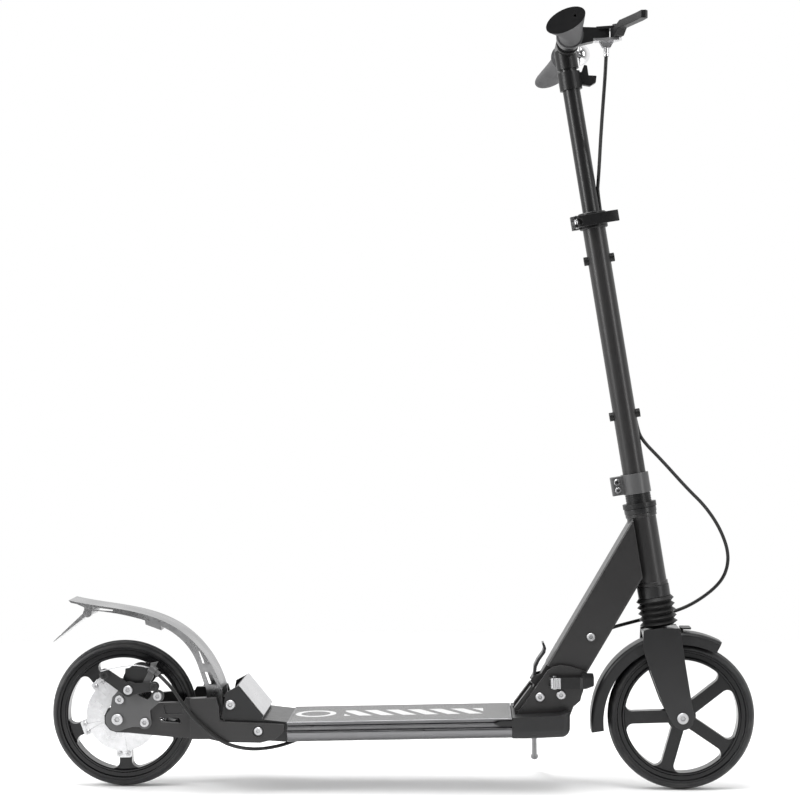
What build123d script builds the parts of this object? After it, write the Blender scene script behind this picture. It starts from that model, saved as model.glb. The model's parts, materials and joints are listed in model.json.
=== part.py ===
from build123d import *

import os
from math import cos, atan2, hypot, pi, radians, sin, tan

# Folding two-wheel kick scooter with hand and foot brakes. Millimetres.
# Origin on the ground, midway between the axles, in the middle plane.
# +X points forwards, +Y to the rider's left, +Z up.

# ---------------------------------------------------------------- driving dimensions
WHEEL_RADIUS = 100.0
HALF_BASE = 382.0
TYRE_HALF_WIDTH = 15.0
TYRE_INNER = 91.0
RIM_INNER = 77.0
HUB_RADIUS = 17.0
HUB_HALF = 14.0
BEARING_RADIUS = 11.0
BEARING_WIDTH = 7.0
AXLE_RADIUS = 4.0
SPOKE_WIDTH = 17.0
SPOKE_HALF = 8.0
FRONT_FIRST_SPOKE = 38.0
REAR_FIRST_SPOKE = 56.0

LEAN = radians(9.303)
AXIS_AT_GROUND = 389.3

FORK_GAP = 22.0
FORK_LEG = 7.0
STEERER_RADIUS = 14.3
SHAFT_RADIUS = 10.0
OUTER_TUBE_RADIUS = 15.75
OUTER_TUBE_BORE = 14.35
INNER_TUBE_RADIUS = 12.0
RUNNING = 0.05

BAR_X = 226.4
BAR_Z = 1016.0
BAR_HALF = 225.0
BAR_RADIUS = 11.0
GRIP_INNER_END = 85.0
CAP_THICKNESS = 3.0

DECK_REAR = -152.0
DECK_FRONT = 150.0
DECK_HALF = 70.0
DECK_THICK = 29.5
DECK_TILT = radians(1.33)
DECK_MID_TOP = 102.2

PIVOT_X = 188.6
PIVOT_Z = 129.4
NECK_ANGLE = radians(59.6)
NECK_BACK = 12.7
NECK_FRONT = 39.3
NECK_HALF = 28.0
NECK_WALL = 3.5

SWING_X = -190.5
SWING_Z = 86.2
FOOT_BRAKE_X = -248.4
FOOT_BRAKE_Z = 101.7
ARM_PIVOT_X = -366.3
ARM_PIVOT_Z = 140.7

CABLE_RADIUS = 2.4

os.makedirs("parts", exist_ok=True)


def save(builder, name):
    """Label one finished sub-part and write its file."""
    builder.part.label = name
    export_step(builder.part, f"parts/{name}.step")


def axis_x(height):
    """Forward position of the steering axis at a height."""
    return AXIS_AT_GROUND - tan(LEAN) * height


def column_plane(height):
    """Plane square to the steering axis, with local x forwards and local y to the left."""
    return Plane(
        origin=(axis_x(height), 0, height),
        x_dir=(cos(LEAN), 0, sin(LEAN)),
        z_dir=(-sin(LEAN), 0, cos(LEAN)),
    )


def column_ring(low, high, outer, inner=0.0):
    """Tube or rod on the steering axis between two heights."""
    with BuildPart() as ring:
        with BuildSketch(column_plane(low)):
            Circle(outer)
            if inner:
                Circle(inner, mode=Mode.SUBTRACT)
        extrude(amount=(high - low) / cos(LEAN))
    return ring.part


def side(y):
    """Side-view plane at y, with local x forwards and local y up; it faces the right-hand side."""
    return Plane.XZ.offset(-y)


def slab(points, y_low, y_high, rounding=0.0, holes=()):
    """Flat plate with a side-view outline, from y_low to y_high."""
    with BuildPart() as plate:
        with BuildSketch(side(y_high)) as face:
            Polygon(*points, align=None)
            if rounding:
                fillet(face.vertices(), rounding)
            for x, z, radius in holes:
                with Locations((x, z)):
                    Circle(radius, mode=Mode.SUBTRACT)
        extrude(amount=y_high - y_low)
    return plate.part


def rod(x, z, y_low, y_high, outer, inner=0.0):
    """Round bar or tube across the scooter."""
    with BuildPart() as bar:
        with BuildSketch(side(y_high)):
            with Locations((x, z)):
                Circle(outer)
                if inner:
                    Circle(inner, mode=Mode.SUBTRACT)
        extrude(amount=y_high - y_low)
    return bar.part


def cap_screw(x, z, y_face, y_end, head_radius, head_height, shank, out=-1):
    """Socket-head screw: its head stands out from y_face on the side given by out."""
    top = y_face + out * head_height
    with BuildPart() as screw:
        add(rod(x, z, min(y_face, top), max(y_face, top), head_radius))
        chamfer(screw.edges().filter_by(GeomType.CIRCLE).sort_by(Axis.Y)[0 if out < 0 else -1], 0.8)
        add(rod(x, z, min(y_face, y_end), max(y_face, y_end), shank))
        with BuildSketch(side(top)):
            with Locations((x, z)):
                RegularPolygon(head_radius * 0.5, 6)
        extrude(amount=head_height * 0.55, both=True, mode=Mode.SUBTRACT)
    return screw.part


def bent_tube(points, radius, name):
    """Round tube along straight runs joined by tangent arcs."""
    spots = [Vector(*p) for p in points]
    radii = []
    for before, here, after in zip(spots, spots[1:], spots[2:]):
        turn = radians((here - before).get_angle(after - here))
        shorter = min((here - before).length, (after - here).length)
        radii.append(0.45 * shorter / tan(turn / 2))
    print(name, "arc radii:", [round(r, 1) for r in radii])
    with BuildPart() as tube:
        with BuildLine() as route:
            FilletPolyline(*points, radius=radii)
        with BuildSketch(Plane(origin=points[0], z_dir=spots[1] - spots[0])):
            Circle(radius)
        sweep(path=route.line)
    length = sum(edge.length for edge in route.line.edges())
    error = tube.part.volume / (pi * radius**2 * length) - 1
    print(name, "length", round(length, 1), "volume error", round(error, 5))
    return tube.part


# ---------------------------------------------------------------- wheels
def wheel_section(centre_x):
    """Plane holding a wheel's section: local x is the radius, local y runs across the scooter."""
    return Plane(origin=(centre_x, 0, WHEEL_RADIUS), x_dir=(1, 0, 0), z_dir=(0, 0, 1))


def wheel_axis(centre_x):
    return Axis((centre_x, 0, WHEEL_RADIUS), (0, 1, 0))


def tyre_ring(centre_x):
    """Solid rubber tyre with two tread grooves."""
    half = [
        (TYRE_INNER, TYRE_HALF_WIDTH - 1),
        (TYRE_INNER + 1, TYRE_HALF_WIDTH),
        (94.5, TYRE_HALF_WIDTH),
        (97.6, 12.2),
        (99.2, 7.4),
        (98.3, 6.6),
        (98.4, 5.6),
        (99.6, 4.8),
        (WHEEL_RADIUS, 1.5),
    ]
    outline = half + [(r, -y) for r, y in reversed(half)]
    with BuildPart() as tyre:
        with BuildSketch(wheel_section(centre_x)):
            Polygon(*outline, align=None)
        revolve(axis=wheel_axis(centre_x))
    return tyre.part


def rim_casting(centre_x, first_spoke):
    """Cast rim: a ring with recessed flanks, five spokes and the hub."""
    half = [
        (RIM_INNER, 11.0),
        (RIM_INNER + 1.2, 12.6),
        (RIM_INNER + 3, 12.6),
        (RIM_INNER + 4.6, 10.2),
        (86.6, 10.2),
        (88, 13.0),
        (TYRE_INNER - 0.02, 13.0),
    ]
    outline = half + [(r, -y) for r, y in reversed(half)]
    with BuildPart() as rim:
        with BuildSketch(side(SPOKE_HALF)) as web:
            with Locations((centre_x, WHEEL_RADIUS)):
                Circle(RIM_INNER + 3)
                Circle(RIM_INNER + 0.2, mode=Mode.SUBTRACT)
                with PolarLocations(45, 5, start_angle=first_spoke):
                    Rectangle(68, SPOKE_WIDTH)
                Circle(HUB_RADIUS + 3)
            near_rim = [
                v for v in web.vertices()
                if RIM_INNER - 3 < hypot(v.X - centre_x, v.Y - WHEEL_RADIUS) < RIM_INNER + 1
            ]
            fillet(near_rim, 9)
        extrude(amount=2 * SPOKE_HALF)
        with BuildSketch(wheel_section(centre_x)):
            Polygon(*outline, align=None)
        revolve(axis=wheel_axis(centre_x))
        add(rod(centre_x, WHEEL_RADIUS, -HUB_HALF, HUB_HALF, HUB_RADIUS))
        add(rod(centre_x, WHEEL_RADIUS, -HUB_HALF, HUB_HALF, 8.5), mode=Mode.SUBTRACT)
        for low in (-HUB_HALF, HUB_HALF - BEARING_WIDTH):
            seat = rod(centre_x, WHEEL_RADIUS, low, low + BEARING_WIDTH, BEARING_RADIUS)
            add(seat, mode=Mode.SUBTRACT)
    return rim.part


def bearing_pair(centre_x):
    """Two sealed ball bearings with shallow shield recesses."""
    with BuildPart() as pair:
        for low in (-HUB_HALF, HUB_HALF - BEARING_WIDTH):
            add(rod(centre_x, WHEEL_RADIUS, low, low + BEARING_WIDTH, BEARING_RADIUS, AXLE_RADIUS + RUNNING))
            for face in (low - 0.5, low + BEARING_WIDTH - 0.5):
                shield = rod(centre_x, WHEEL_RADIUS, face, face + 1, 9.2, 6.2)
                add(shield, mode=Mode.SUBTRACT)
    return pair.part


with BuildPart() as front_tyre:
    add(tyre_ring(HALF_BASE))
save(front_tyre, "front_tyre")

with BuildPart() as rear_tyre:
    add(tyre_ring(-HALF_BASE))
save(rear_tyre, "rear_tyre")

with BuildPart() as front_rim:
    add(rim_casting(HALF_BASE, FRONT_FIRST_SPOKE))
save(front_rim, "front_rim")

# the rear rim carries five bosses on its right-hand spokes for the brake disc
DISC_BOLT_CIRCLE = 53.0
DISC_FACE = -18.0
DISC_THICK = 2.0
DISC_RADIUS = 50.0
DISC_HOLE_STEP = 5.6


def disc_spots():
    """Angles of the five disc lugs."""
    return [REAR_FIRST_SPOKE + 72 * n for n in range(5)]


def disc_holes():
    """Side-view positions of the ten disc screws, two to a lug."""
    spots = []
    for angle in disc_spots():
        a = radians(angle)
        for step in (-DISC_HOLE_STEP, DISC_HOLE_STEP):
            x = -HALF_BASE + DISC_BOLT_CIRCLE * cos(a) - step * sin(a)
            z = WHEEL_RADIUS + DISC_BOLT_CIRCLE * sin(a) + step * cos(a)
            spots.append((x, z))
    return spots


with BuildPart() as rear_rim:
    add(rim_casting(-HALF_BASE, REAR_FIRST_SPOKE))
    with BuildSketch(side(-SPOKE_HALF + 1)):
        with Locations((-HALF_BASE, WHEEL_RADIUS)):
            with PolarLocations(DISC_BOLT_CIRCLE, 5, start_angle=REAR_FIRST_SPOKE):
                RectangleRounded(12, 20, 3)
    extrude(amount=-SPOKE_HALF + 1 - DISC_FACE)
    for x, z in disc_holes():
        add(rod(x, z, DISC_FACE, -4, 1.9), mode=Mode.SUBTRACT)
save(rear_rim, "rear_rim")

with BuildPart() as front_bearings:
    add(bearing_pair(HALF_BASE))
save(front_bearings, "front_bearings")

with BuildPart() as rear_bearings:
    add(bearing_pair(-HALF_BASE))
save(rear_bearings, "rear_bearings")

with BuildPart() as brake_disc:
    with BuildSketch(side(DISC_FACE)):
        with Locations((-HALF_BASE, WHEEL_RADIUS)):
            Circle(DISC_RADIUS)
            with PolarLocations(DISC_BOLT_CIRCLE, 5, start_angle=REAR_FIRST_SPOKE):
                RectangleRounded(12, 21, 3)
            Circle(HUB_RADIUS + 4, mode=Mode.SUBTRACT)
        for x, z in disc_holes():
            with Locations((x, z)):
                Circle(2.0, mode=Mode.SUBTRACT)
    extrude(amount=DISC_THICK)
save(brake_disc, "brake_disc")

with BuildPart() as disc_screws:
    for x, z in disc_holes():
        add(cap_screw(x, z, DISC_FACE - DISC_THICK, -6, 3.2, 1.6, 1.85))
save(disc_screws, "disc_screws")

# ---------------------------------------------------------------- fork and front axle
CROWN_TOP = 221.0
FENDER_OUTER = 115.4


def wheel_cylinder(centre_x, radius, half_width):
    return rod(centre_x, WHEEL_RADIUS, -half_width, half_width, radius)


FORK_LEG_OUTLINE = [
    (329, 218), (353, 222), (378, 222), (381, 206), (385, 177), (394, 122), (398, 100), (395, 91),
    (388, 85), (381, 84), (372, 88), (366, 96), (355, 118), (337, 167), (328, 194),
]

with BuildPart() as fork:
    for low in (-FORK_GAP - FORK_LEG, FORK_GAP):
        add(slab(FORK_LEG_OUTLINE, low, low + FORK_LEG))
    crown = [(331, 205), (329, 216), (353, 221.5), (378, 221.5), (380, 210), (380, 200), (331, 200)]
    add(slab(crown, -FORK_GAP - 1, FORK_GAP + 1))
    add(wheel_cylinder(HALF_BASE, FENDER_OUTER + 2.8, FORK_GAP), mode=Mode.SUBTRACT)
    add(column_ring(214, 300, SHAFT_RADIUS))
    add(wheel_cylinder(HALF_BASE, FENDER_OUTER + 2.8, FORK_GAP), mode=Mode.SUBTRACT)
    add(rod(HALF_BASE, WHEEL_RADIUS, -30, 30, AXLE_RADIUS + RUNNING), mode=Mode.SUBTRACT)
save(fork, "fork")

with BuildPart() as front_axle:
    add(rod(HALF_BASE, WHEEL_RADIUS, -FORK_GAP - FORK_LEG, 32, AXLE_RADIUS))
    add(cap_screw(HALF_BASE, WHEEL_RADIUS, -FORK_GAP - FORK_LEG, -20, 7.5, 3.5, AXLE_RADIUS))
    add(cap_screw(HALF_BASE, WHEEL_RADIUS, FORK_GAP + FORK_LEG, 20, 7.5, 3.5, AXLE_RADIUS, out=1))
    for low, high in ((-FORK_GAP + 0.1, -HUB_HALF - 0.4), (HUB_HALF + 0.4, FORK_GAP - 0.1)):
        add(rod(HALF_BASE, WHEEL_RADIUS, low, high, 6.2, AXLE_RADIUS))
save(front_axle, "front_axle")

# front mudguard: a U-section shell around the wheel's rear and top, deepening towards its lower end
FENDER_FRONT_ANGLE = 62.0
FENDER_REAR_ANGLE = 190.0
FENDER_HALF = 21.3
FENDER_SKIN = 2.2
TAIL_DROP = 9.0


def fender_ring(outer, inner, shift):
    """Side-view crescent: outer circle moved rearwards and down by shift, inner circle on the wheel."""
    front = radians(FENDER_FRONT_ANGLE)
    rear = radians(FENDER_REAR_ANGLE)
    middle = (front + rear) / 2
    centre = (HALF_BASE, WHEEL_RADIUS)

    def spot(radius, angle):
        return (centre[0] + radius * cos(angle), centre[1] + radius * sin(angle))

    with BuildSketch(side(0)) as crescent:
        with BuildLine():
            ThreePointArc(spot(outer, front), spot(outer + shift * 0.22, middle), spot(outer + shift, rear))
            Line(spot(outer + shift, rear), spot(inner + shift, rear))
            ThreePointArc(spot(inner + shift, rear), spot(inner + shift * 0.22, middle), spot(inner, front))
            Line(spot(inner, front), spot(outer, front))
        make_face()
    return crescent.sketch


with BuildPart() as front_fender:
    extrude(fender_ring(FENDER_OUTER, 98.5, TAIL_DROP), amount=FENDER_HALF, both=True)
    long_edges = [
        e for e in front_fender.edges().filter_by(GeomType.CIRCLE)
        if e.radius > FENDER_OUTER - 2 and e.length > 100
    ]
    fillet(long_edges, 6)
    hollow = fender_ring(FENDER_OUTER - FENDER_SKIN, 80, TAIL_DROP)
    extrude(hollow, amount=FENDER_HALF - FENDER_SKIN, both=True, mode=Mode.SUBTRACT)
    with BuildSketch(Plane.XY.offset(219)):
        with Locations((388, 0)):
            RectangleRounded(14, 30, 3)
    extrude(amount=2.2)
    with BuildSketch(Plane.YZ.offset(381.9)):
        with Locations((0, 216)):
            RectangleRounded(26, 8, 2)
    extrude(amount=2.4)
save(front_fender, "front_fender")

# ---------------------------------------------------------------- steering column
HEAD_LOW = 278.0
HEAD_HIGH = 377.0
STEERER_LOW = 240.0
STEERER_HIGH = 440.0
CLAMP_LOW = 404.0
CLAMP_HIGH = 431.0
TUBE_TOP = 786.0
INNER_LOW = 600.0
INNER_HIGH = 1003.0

with BuildPart() as bellows:
    folds = 5
    bottom = CROWN_TOP + 1.4
    top = 262.0
    pitch = (top - bottom) / folds / cos(LEAN)
    outline = [(19, 0)]
    for fold in range(folds):
        outline.append((25.8, (fold + 0.5) * pitch))
        outline.append((21.2 if fold < folds - 1 else 22.4, (fold + 1) * pitch))
    outline += [(18.8, folds * pitch)]
    inside = [(x - 2.2, z) for x, z in reversed(outline[1:-1])]
    section = Plane(
        origin=(axis_x(bottom), 0, bottom),
        x_dir=(0, 1, 0),
        z_dir=(cos(LEAN), 0, sin(LEAN)),
    )
    with BuildSketch(section):
        Polygon(*(outline + inside), align=None)
    revolve(axis=Axis((axis_x(bottom), 0, bottom), (-sin(LEAN), 0, cos(LEAN))))
save(bellows, "fork_bellows")

with BuildPart() as head_tube:
    add(column_ring(HEAD_LOW, HEAD_HIGH, 20, 17))
    add(column_ring(HEAD_LOW, HEAD_LOW + 5, 21.3, 17))
    add(column_ring(HEAD_HIGH - 5, HEAD_HIGH, 21.3, 17))
save(head_tube, "head_tube")

with BuildPart() as headset_cups:
    add(column_ring(262.4, HEAD_LOW - 0.1, 22, 19.05))
    add(column_ring(262.4, 264.4, 22, 15.2))
    add(column_ring(HEAD_HIGH + 0.1, 384, 22, 19.05))
    for low, high in ((266.5, 274.5), (HEAD_HIGH + 0.2, 383.6)):
        add(column_ring(low, high, 19, STEERER_RADIUS + RUNNING))
        add(column_ring(high - 0.8, high, 17.8, 15.8), mode=Mode.SUBTRACT)
save(headset_cups, "headset")

with BuildPart() as steerer:
    add(column_ring(STEERER_LOW, STEERER_HIGH, STEERER_RADIUS, SHAFT_RADIUS + RUNNING))
    add(column_ring(352.2, 358, SHAFT_RADIUS + RUNNING))
    add(column_ring(384.3, 391, 23, STEERER_RADIUS - 0.1))
    for low in range(4):
        height = 391 + 3.2 * low
        add(column_ring(height, height + 2.4, 17.4, STEERER_RADIUS - 0.1))
        add(column_ring(height + 2.4, height + 3.2, 16.4, STEERER_RADIUS - 0.1))
save(steerer, "steerer_tube")

with BuildPart() as fork_spring:
    turns = 7
    spring_low = 301.0
    spring_high = 352.0
    wire = 1.2
    length = (spring_high - spring_low) / cos(LEAN)
    for turn in range(turns):
        height = spring_low + 3 + (spring_high - spring_low - 6) * turn / (turns - 1)
        ring_plane = column_plane(height)
        centre = ring_plane.origin + ring_plane.x_dir * 8.2
        with BuildSketch(Plane(origin=centre, x_dir=ring_plane.x_dir, z_dir=ring_plane.y_dir)):
            Circle(wire)
        revolve(axis=Axis(ring_plane.origin, ring_plane.z_dir))
save(fork_spring, "fork_spring_coils")

CLAMP_EAR_BACK = 34.0
CLAMP_BOLT_LOCAL = 26.0


def column_block(low, high, x_back, x_front, half):
    """Rectangular block in the column's frame, set behind or ahead of the axis."""
    with BuildPart() as block:
        with BuildSketch(column_plane(low)) as face:
            with Locations(((x_back + x_front) / 2, 0)):
                RectangleRounded(x_front - x_back, 2 * half, half * 0.4)
        extrude(amount=(high - low) / cos(LEAN))
    return block.part


def column_cross_rod(height, local_x, y_low, y_high, radius):
    """Rod across the scooter, placed ahead of (+) or behind (-) the steering axis."""
    x = axis_x(height) + local_x * cos(LEAN)
    z = height + local_x * sin(LEAN)
    return rod(x, z, y_low, y_high, radius)


with BuildPart() as steerer_clamp:
    add(column_ring(CLAMP_LOW, CLAMP_HIGH, 19, OUTER_TUBE_RADIUS + 0.02))
    add(column_block(CLAMP_LOW + 1, CLAMP_HIGH - 1, -CLAMP_EAR_BACK, -14, 9))
    add(column_block(CLAMP_LOW - 1, CLAMP_HIGH + 1, -CLAMP_EAR_BACK - 1, -12, 1.6), mode=Mode.SUBTRACT)
    add(column_ring(CLAMP_LOW - 1, CLAMP_HIGH + 1, OUTER_TUBE_RADIUS + 0.02), mode=Mode.SUBTRACT)
    for height in (412, 423):
        add(column_cross_rod(height, -CLAMP_BOLT_LOCAL, -10, 10, 2.6), mode=Mode.SUBTRACT)
save(steerer_clamp, "steerer_clamp")

with BuildPart() as outer_tube:
    add(column_ring(CLAMP_LOW, TUBE_TOP, OUTER_TUBE_RADIUS, OUTER_TUBE_BORE))
    with BuildSketch(Plane(origin=(318.2, -0.1, 499.7), z_dir=(0.452, 0.04, -0.891))):
        Circle(3.2)
    extrude(amount=34, mode=Mode.SUBTRACT)
    add(column_ring(752, TUBE_TOP, OUTER_TUBE_BORE + 0.05, INNER_TUBE_RADIUS + RUNNING))
    add(column_block(750, TUBE_TOP + 4, 5, OUTER_TUBE_BORE - 0.2, 3.6), mode=Mode.SUBTRACT)
save(outer_tube, "lower_stem_tube")

# rubber bump stops, two pairs, front and back of the lower stem tube
BUMP_HEIGHTS = (724.0, 511.0)

with BuildPart() as bumpers:
    for height in BUMP_HEIGHTS:
        plane = column_plane(height)
        for direction in (1, -1):
            start = plane.origin + plane.x_dir * (direction * 12)
            with BuildSketch(Plane(origin=start, x_dir=(0, 1, 0), z_dir=plane.x_dir * direction)):
                Circle(6)
            extrude(amount=9)
    add(column_ring(480, 760, OUTER_TUBE_RADIUS + 0.02), mode=Mode.SUBTRACT)
save(bumpers, "stem_bumpers")

HEIGHT_LOW = 766.0
HEIGHT_HIGH = 788.0
EAR_BACK = 30.0

with BuildPart() as height_clamp:
    add(column_ring(HEIGHT_LOW, HEIGHT_HIGH, 19.4, OUTER_TUBE_RADIUS + 0.02))
    chamfer(height_clamp.edges().filter_by(GeomType.CIRCLE).group_by(SortBy.RADIUS)[-1], 1)
    add(column_block(HEIGHT_LOW + 2, HEIGHT_HIGH - 2, -EAR_BACK, -14, 9))
    add(column_block(HEIGHT_LOW - 1, HEIGHT_HIGH + 1, -EAR_BACK - 1, -12, 1.8), mode=Mode.SUBTRACT)
    add(column_ring(HEIGHT_LOW - 1, HEIGHT_HIGH + 1, OUTER_TUBE_RADIUS + 0.02), mode=Mode.SUBTRACT)
    add(column_cross_rod(777, -24, -12, 12, 3.1), mode=Mode.SUBTRACT)
save(height_clamp, "height_clamp")

# cross bolt of the height clamp: nut on the left, swivel for the lever on the right
HEIGHT_PIN_X = axis_x(777) - 24 * cos(LEAN)
HEIGHT_PIN_Z = 777 - 24 * sin(LEAN)

HEIGHT_LEVER_LOCAL = (-24.0, -22.5)

with BuildPart() as stem_bolts:
    for height in (412, 423):
        x = axis_x(height) - CLAMP_BOLT_LOCAL * cos(LEAN)
        z = height - CLAMP_BOLT_LOCAL * sin(LEAN)
        add(cap_screw(x, z, -9.1, 9, 4.2, 4, 2.5))
    add(rod(HEIGHT_PIN_X, HEIGHT_PIN_Z, HEIGHT_LEVER_LOCAL[1], 15, 3.0))
    with BuildSketch(side(15.2)):
        with Locations((HEIGHT_PIN_X, HEIGHT_PIN_Z)):
            RegularPolygon(6, 6)
    extrude(amount=6)
    add(rod(HEIGHT_PIN_X, HEIGHT_PIN_Z, -14.2, -9.1, 4.6))
    with BuildSketch(column_plane(768.5)):
        with Locations(HEIGHT_LEVER_LOCAL):
            Circle(2.45)
    extrude(amount=17 / cos(LEAN))
save(stem_bolts, "stem_bolts")

# quick-release lever: a curved arm on the right, turning about an axis parallel to the stem
with BuildPart() as height_lever:
    with BuildSketch(column_plane(769.5)):
        with Locations(HEIGHT_LEVER_LOCAL):
            Circle(6.6)
        with BuildLine():
            Polyline(
                (-28, -18.6), (-18, -18.6), (-8, -21.6), (6, -24.4), (18, -25.2), (27, -24.6), (33, -23.4),
            )
            Line((33, -23.4), (34, -27.6))
            Polyline(
                (34, -27.6), (27, -29.4), (17, -30.4), (4, -29.8), (-12, -28), (-26, -27), (-28, -24),
                (-28, -18.6),
            )
        make_face()
    extrude(amount=15 / cos(LEAN))
    with BuildSketch(column_plane(766)):
        with Locations(HEIGHT_LEVER_LOCAL):
            Circle(2.5)
    extrude(amount=30, mode=Mode.SUBTRACT)
    with BuildSketch(column_plane(773.4)):
        with Locations(HEIGHT_LEVER_LOCAL):
            Circle(9.6)
    extrude(amount=7.3, mode=Mode.SUBTRACT)
save(height_lever, "height_clamp_lever")

# ---------------------------------------------------------------- handlebar
with BuildPart() as inner_tube:
    add(column_ring(INNER_LOW, INNER_HIGH, INNER_TUBE_RADIUS, 10))
    add(column_block(INNER_LOW - 2, 828, 6, 16, 3.5), mode=Mode.SUBTRACT)
save(inner_tube, "upper_stem_tube")

with BuildPart() as bar_tee:
    add(column_ring(984, 1010, 15, INNER_TUBE_RADIUS + 0.02))
    add(rod(BAR_X, BAR_Z, -27, 27, 15.5))
    add(column_ring(980, 1005.2, INNER_TUBE_RADIUS + 0.02), mode=Mode.SUBTRACT)
    add(rod(BAR_X, BAR_Z, -30, 30, BAR_RADIUS + 0.02), mode=Mode.SUBTRACT)
    fillet(bar_tee.edges().filter_by(GeomType.CIRCLE).sort_by(Axis.Y)[0], 1.5)
    fillet(bar_tee.edges().filter_by(GeomType.CIRCLE).sort_by(Axis.Y)[-1], 1.5)
save(bar_tee, "bar_tee")

with BuildPart() as bar_tube:
    add(rod(BAR_X, BAR_Z, -BAR_HALF + CAP_THICKNESS + 0.1, BAR_HALF - CAP_THICKNESS - 0.1, BAR_RADIUS, 9))
save(bar_tube, "handlebar_tube")

def bare_grip():
    """Right-hand grip: slim near the stem, spreading into a palm wing near its end."""
    with BuildPart() as shape:
        stations = (
            (-GRIP_INNER_END - 5, 16.0, 0.0),
            (-GRIP_INNER_END - 50, 15.0, 4.0),
            (-GRIP_INNER_END - 95, 15.6, 14.0),
            (-BAR_HALF + CAP_THICKNESS + 0.05, 16.0, 26.0),
        )
        sections = []
        for y, core, reach in stations:
            with BuildSketch(side(y), mode=Mode.PRIVATE) as face:
                with Locations((BAR_X - reach * 0.45, BAR_Z - reach * 0.22)):
                    Ellipse(core + reach * 0.42, core - reach * 0.09, rotation=27)
            sections.append(face.sketch)
        loft(sections)
        add(rod(BAR_X, BAR_Z, -GRIP_INNER_END - 6, -GRIP_INNER_END, 18))
        bore = rod(BAR_X, BAR_Z, -BAR_HALF - 5, -GRIP_INNER_END + 5, BAR_RADIUS + 0.02)
        add(bore, mode=Mode.SUBTRACT)
    return shape.part


right_grip = bare_grip()

with BuildPart() as grips:
    add(right_grip)
    add(right_grip.mirror(Plane.XZ))
save(grips, "grips")

with BuildPart() as grip_caps:
    reach = 26.0
    for y_start in (-BAR_HALF + CAP_THICKNESS, BAR_HALF):
        with BuildSketch(side(y_start)):
            with Locations((BAR_X - reach * 0.45, BAR_Z - reach * 0.22)):
                Ellipse(16 + reach * 0.42, 16 - reach * 0.09, rotation=27)
            with Locations((BAR_X, BAR_Z)):
                Circle(1.6, mode=Mode.SUBTRACT)
        extrude(amount=CAP_THICKNESS)
save(grip_caps, "grip_end_caps")

# brake lever on the right
PERCH_LOW = -80.0
PERCH_HIGH = -62.0
LEVER_X = 288.0
LEVER_Y = -82.0

with BuildPart() as lever_perch:
    add(rod(BAR_X, BAR_Z, PERCH_LOW, PERCH_HIGH, 17))
    body = [(228, 1002), (244, 1006), (262, 1010), (279.4, 1010), (279.4, 1027), (246, 1028), (232, 1031)]
    add(slab(body, PERCH_LOW, PERCH_HIGH, rounding=2))
    add(rod(BAR_X, BAR_Z, PERCH_LOW - 5, PERCH_HIGH + 5, BAR_RADIUS + 0.02), mode=Mode.SUBTRACT)
    for low, high in ((1009.5, 1013.0), (1025.0, 1028.5)):
        with BuildSketch(Plane.XY.offset(low)):
            Polygon(
                (262, PERCH_HIGH), (262, PERCH_LOW), (LEVER_X - 6, LEVER_Y - 5), (LEVER_X + 4, LEVER_Y - 5),
                (LEVER_X + 8, LEVER_Y + 2), (LEVER_X + 2, LEVER_Y + 12), (284, PERCH_HIGH), align=None,
            )
        extrude(amount=high - low)
    with BuildSketch(Plane.XY.offset(1000)):
        with Locations((LEVER_X, LEVER_Y)):
            Circle(3.05)
    extrude(amount=40, mode=Mode.SUBTRACT)
    add(slab([(266, 1010), (286, 1010), (281, 1001), (271, 1001)], -76, -66))
    with BuildSketch(Plane.XY.offset(990)):
        with Locations((276, -71)):
            Circle(3.6)
            Circle(CABLE_RADIUS + 0.9, mode=Mode.SUBTRACT)
    extrude(amount=11)
    with BuildSketch(Plane.XY.offset(1009)):
        with Locations((LEVER_X, LEVER_Y)):
            Circle(3.0)
    extrude(amount=20.5)
    with BuildSketch(Plane.XY.offset(1028.6)):
        with Locations((LEVER_X, LEVER_Y)):
            Circle(5)
    extrude(amount=2.2)
save(lever_perch, "brake_lever_perch")

with BuildPart() as brake_lever:
    with BuildSketch(Plane.XY.offset(1013.4)):
        with Locations((LEVER_X, LEVER_Y)):
            Circle(7.5)
        Polygon(
            (LEVER_X - 6, LEVER_Y + 2), (LEVER_X + 6.5, LEVER_Y - 2), (LEVER_X + 16, -112),
            (LEVER_X + 31, -150), (LEVER_X + 35, -164), (LEVER_X + 32, -169), (LEVER_X + 26, -168),
            (LEVER_X + 20, -150),
            (LEVER_X + 5, -112), (LEVER_X - 7, LEVER_Y - 4), align=None,
        )
    extrude(amount=24)
    with BuildSketch(Plane.YZ.offset(LEVER_X - 12)):
        Polygon((-93, 1005), (-93, 1013), (-103, 1021.8), (-172, 1023.6), (-172, 1005), align=None)
        Polygon(
            (-60, 1024.6), (-91.5, 1024.6), (-106, 1032.4), (-172, 1033.9), (-172, 1050), (-60, 1050),
            align=None,
        )
    extrude(amount=60, mode=Mode.SUBTRACT)
    with BuildSketch(Plane.XY.offset(1000)):
        with Locations((LEVER_X, LEVER_Y)):
            Circle(3.05)
    extrude(amount=40, mode=Mode.SUBTRACT)
save(brake_lever, "brake_lever")

# bell on the left of the stem
BELL_Y = 62.0
BELL_Z = 1015.0

STRIKER_X = 243.0
STRIKER_Y = BELL_Y + 14.5

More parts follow.
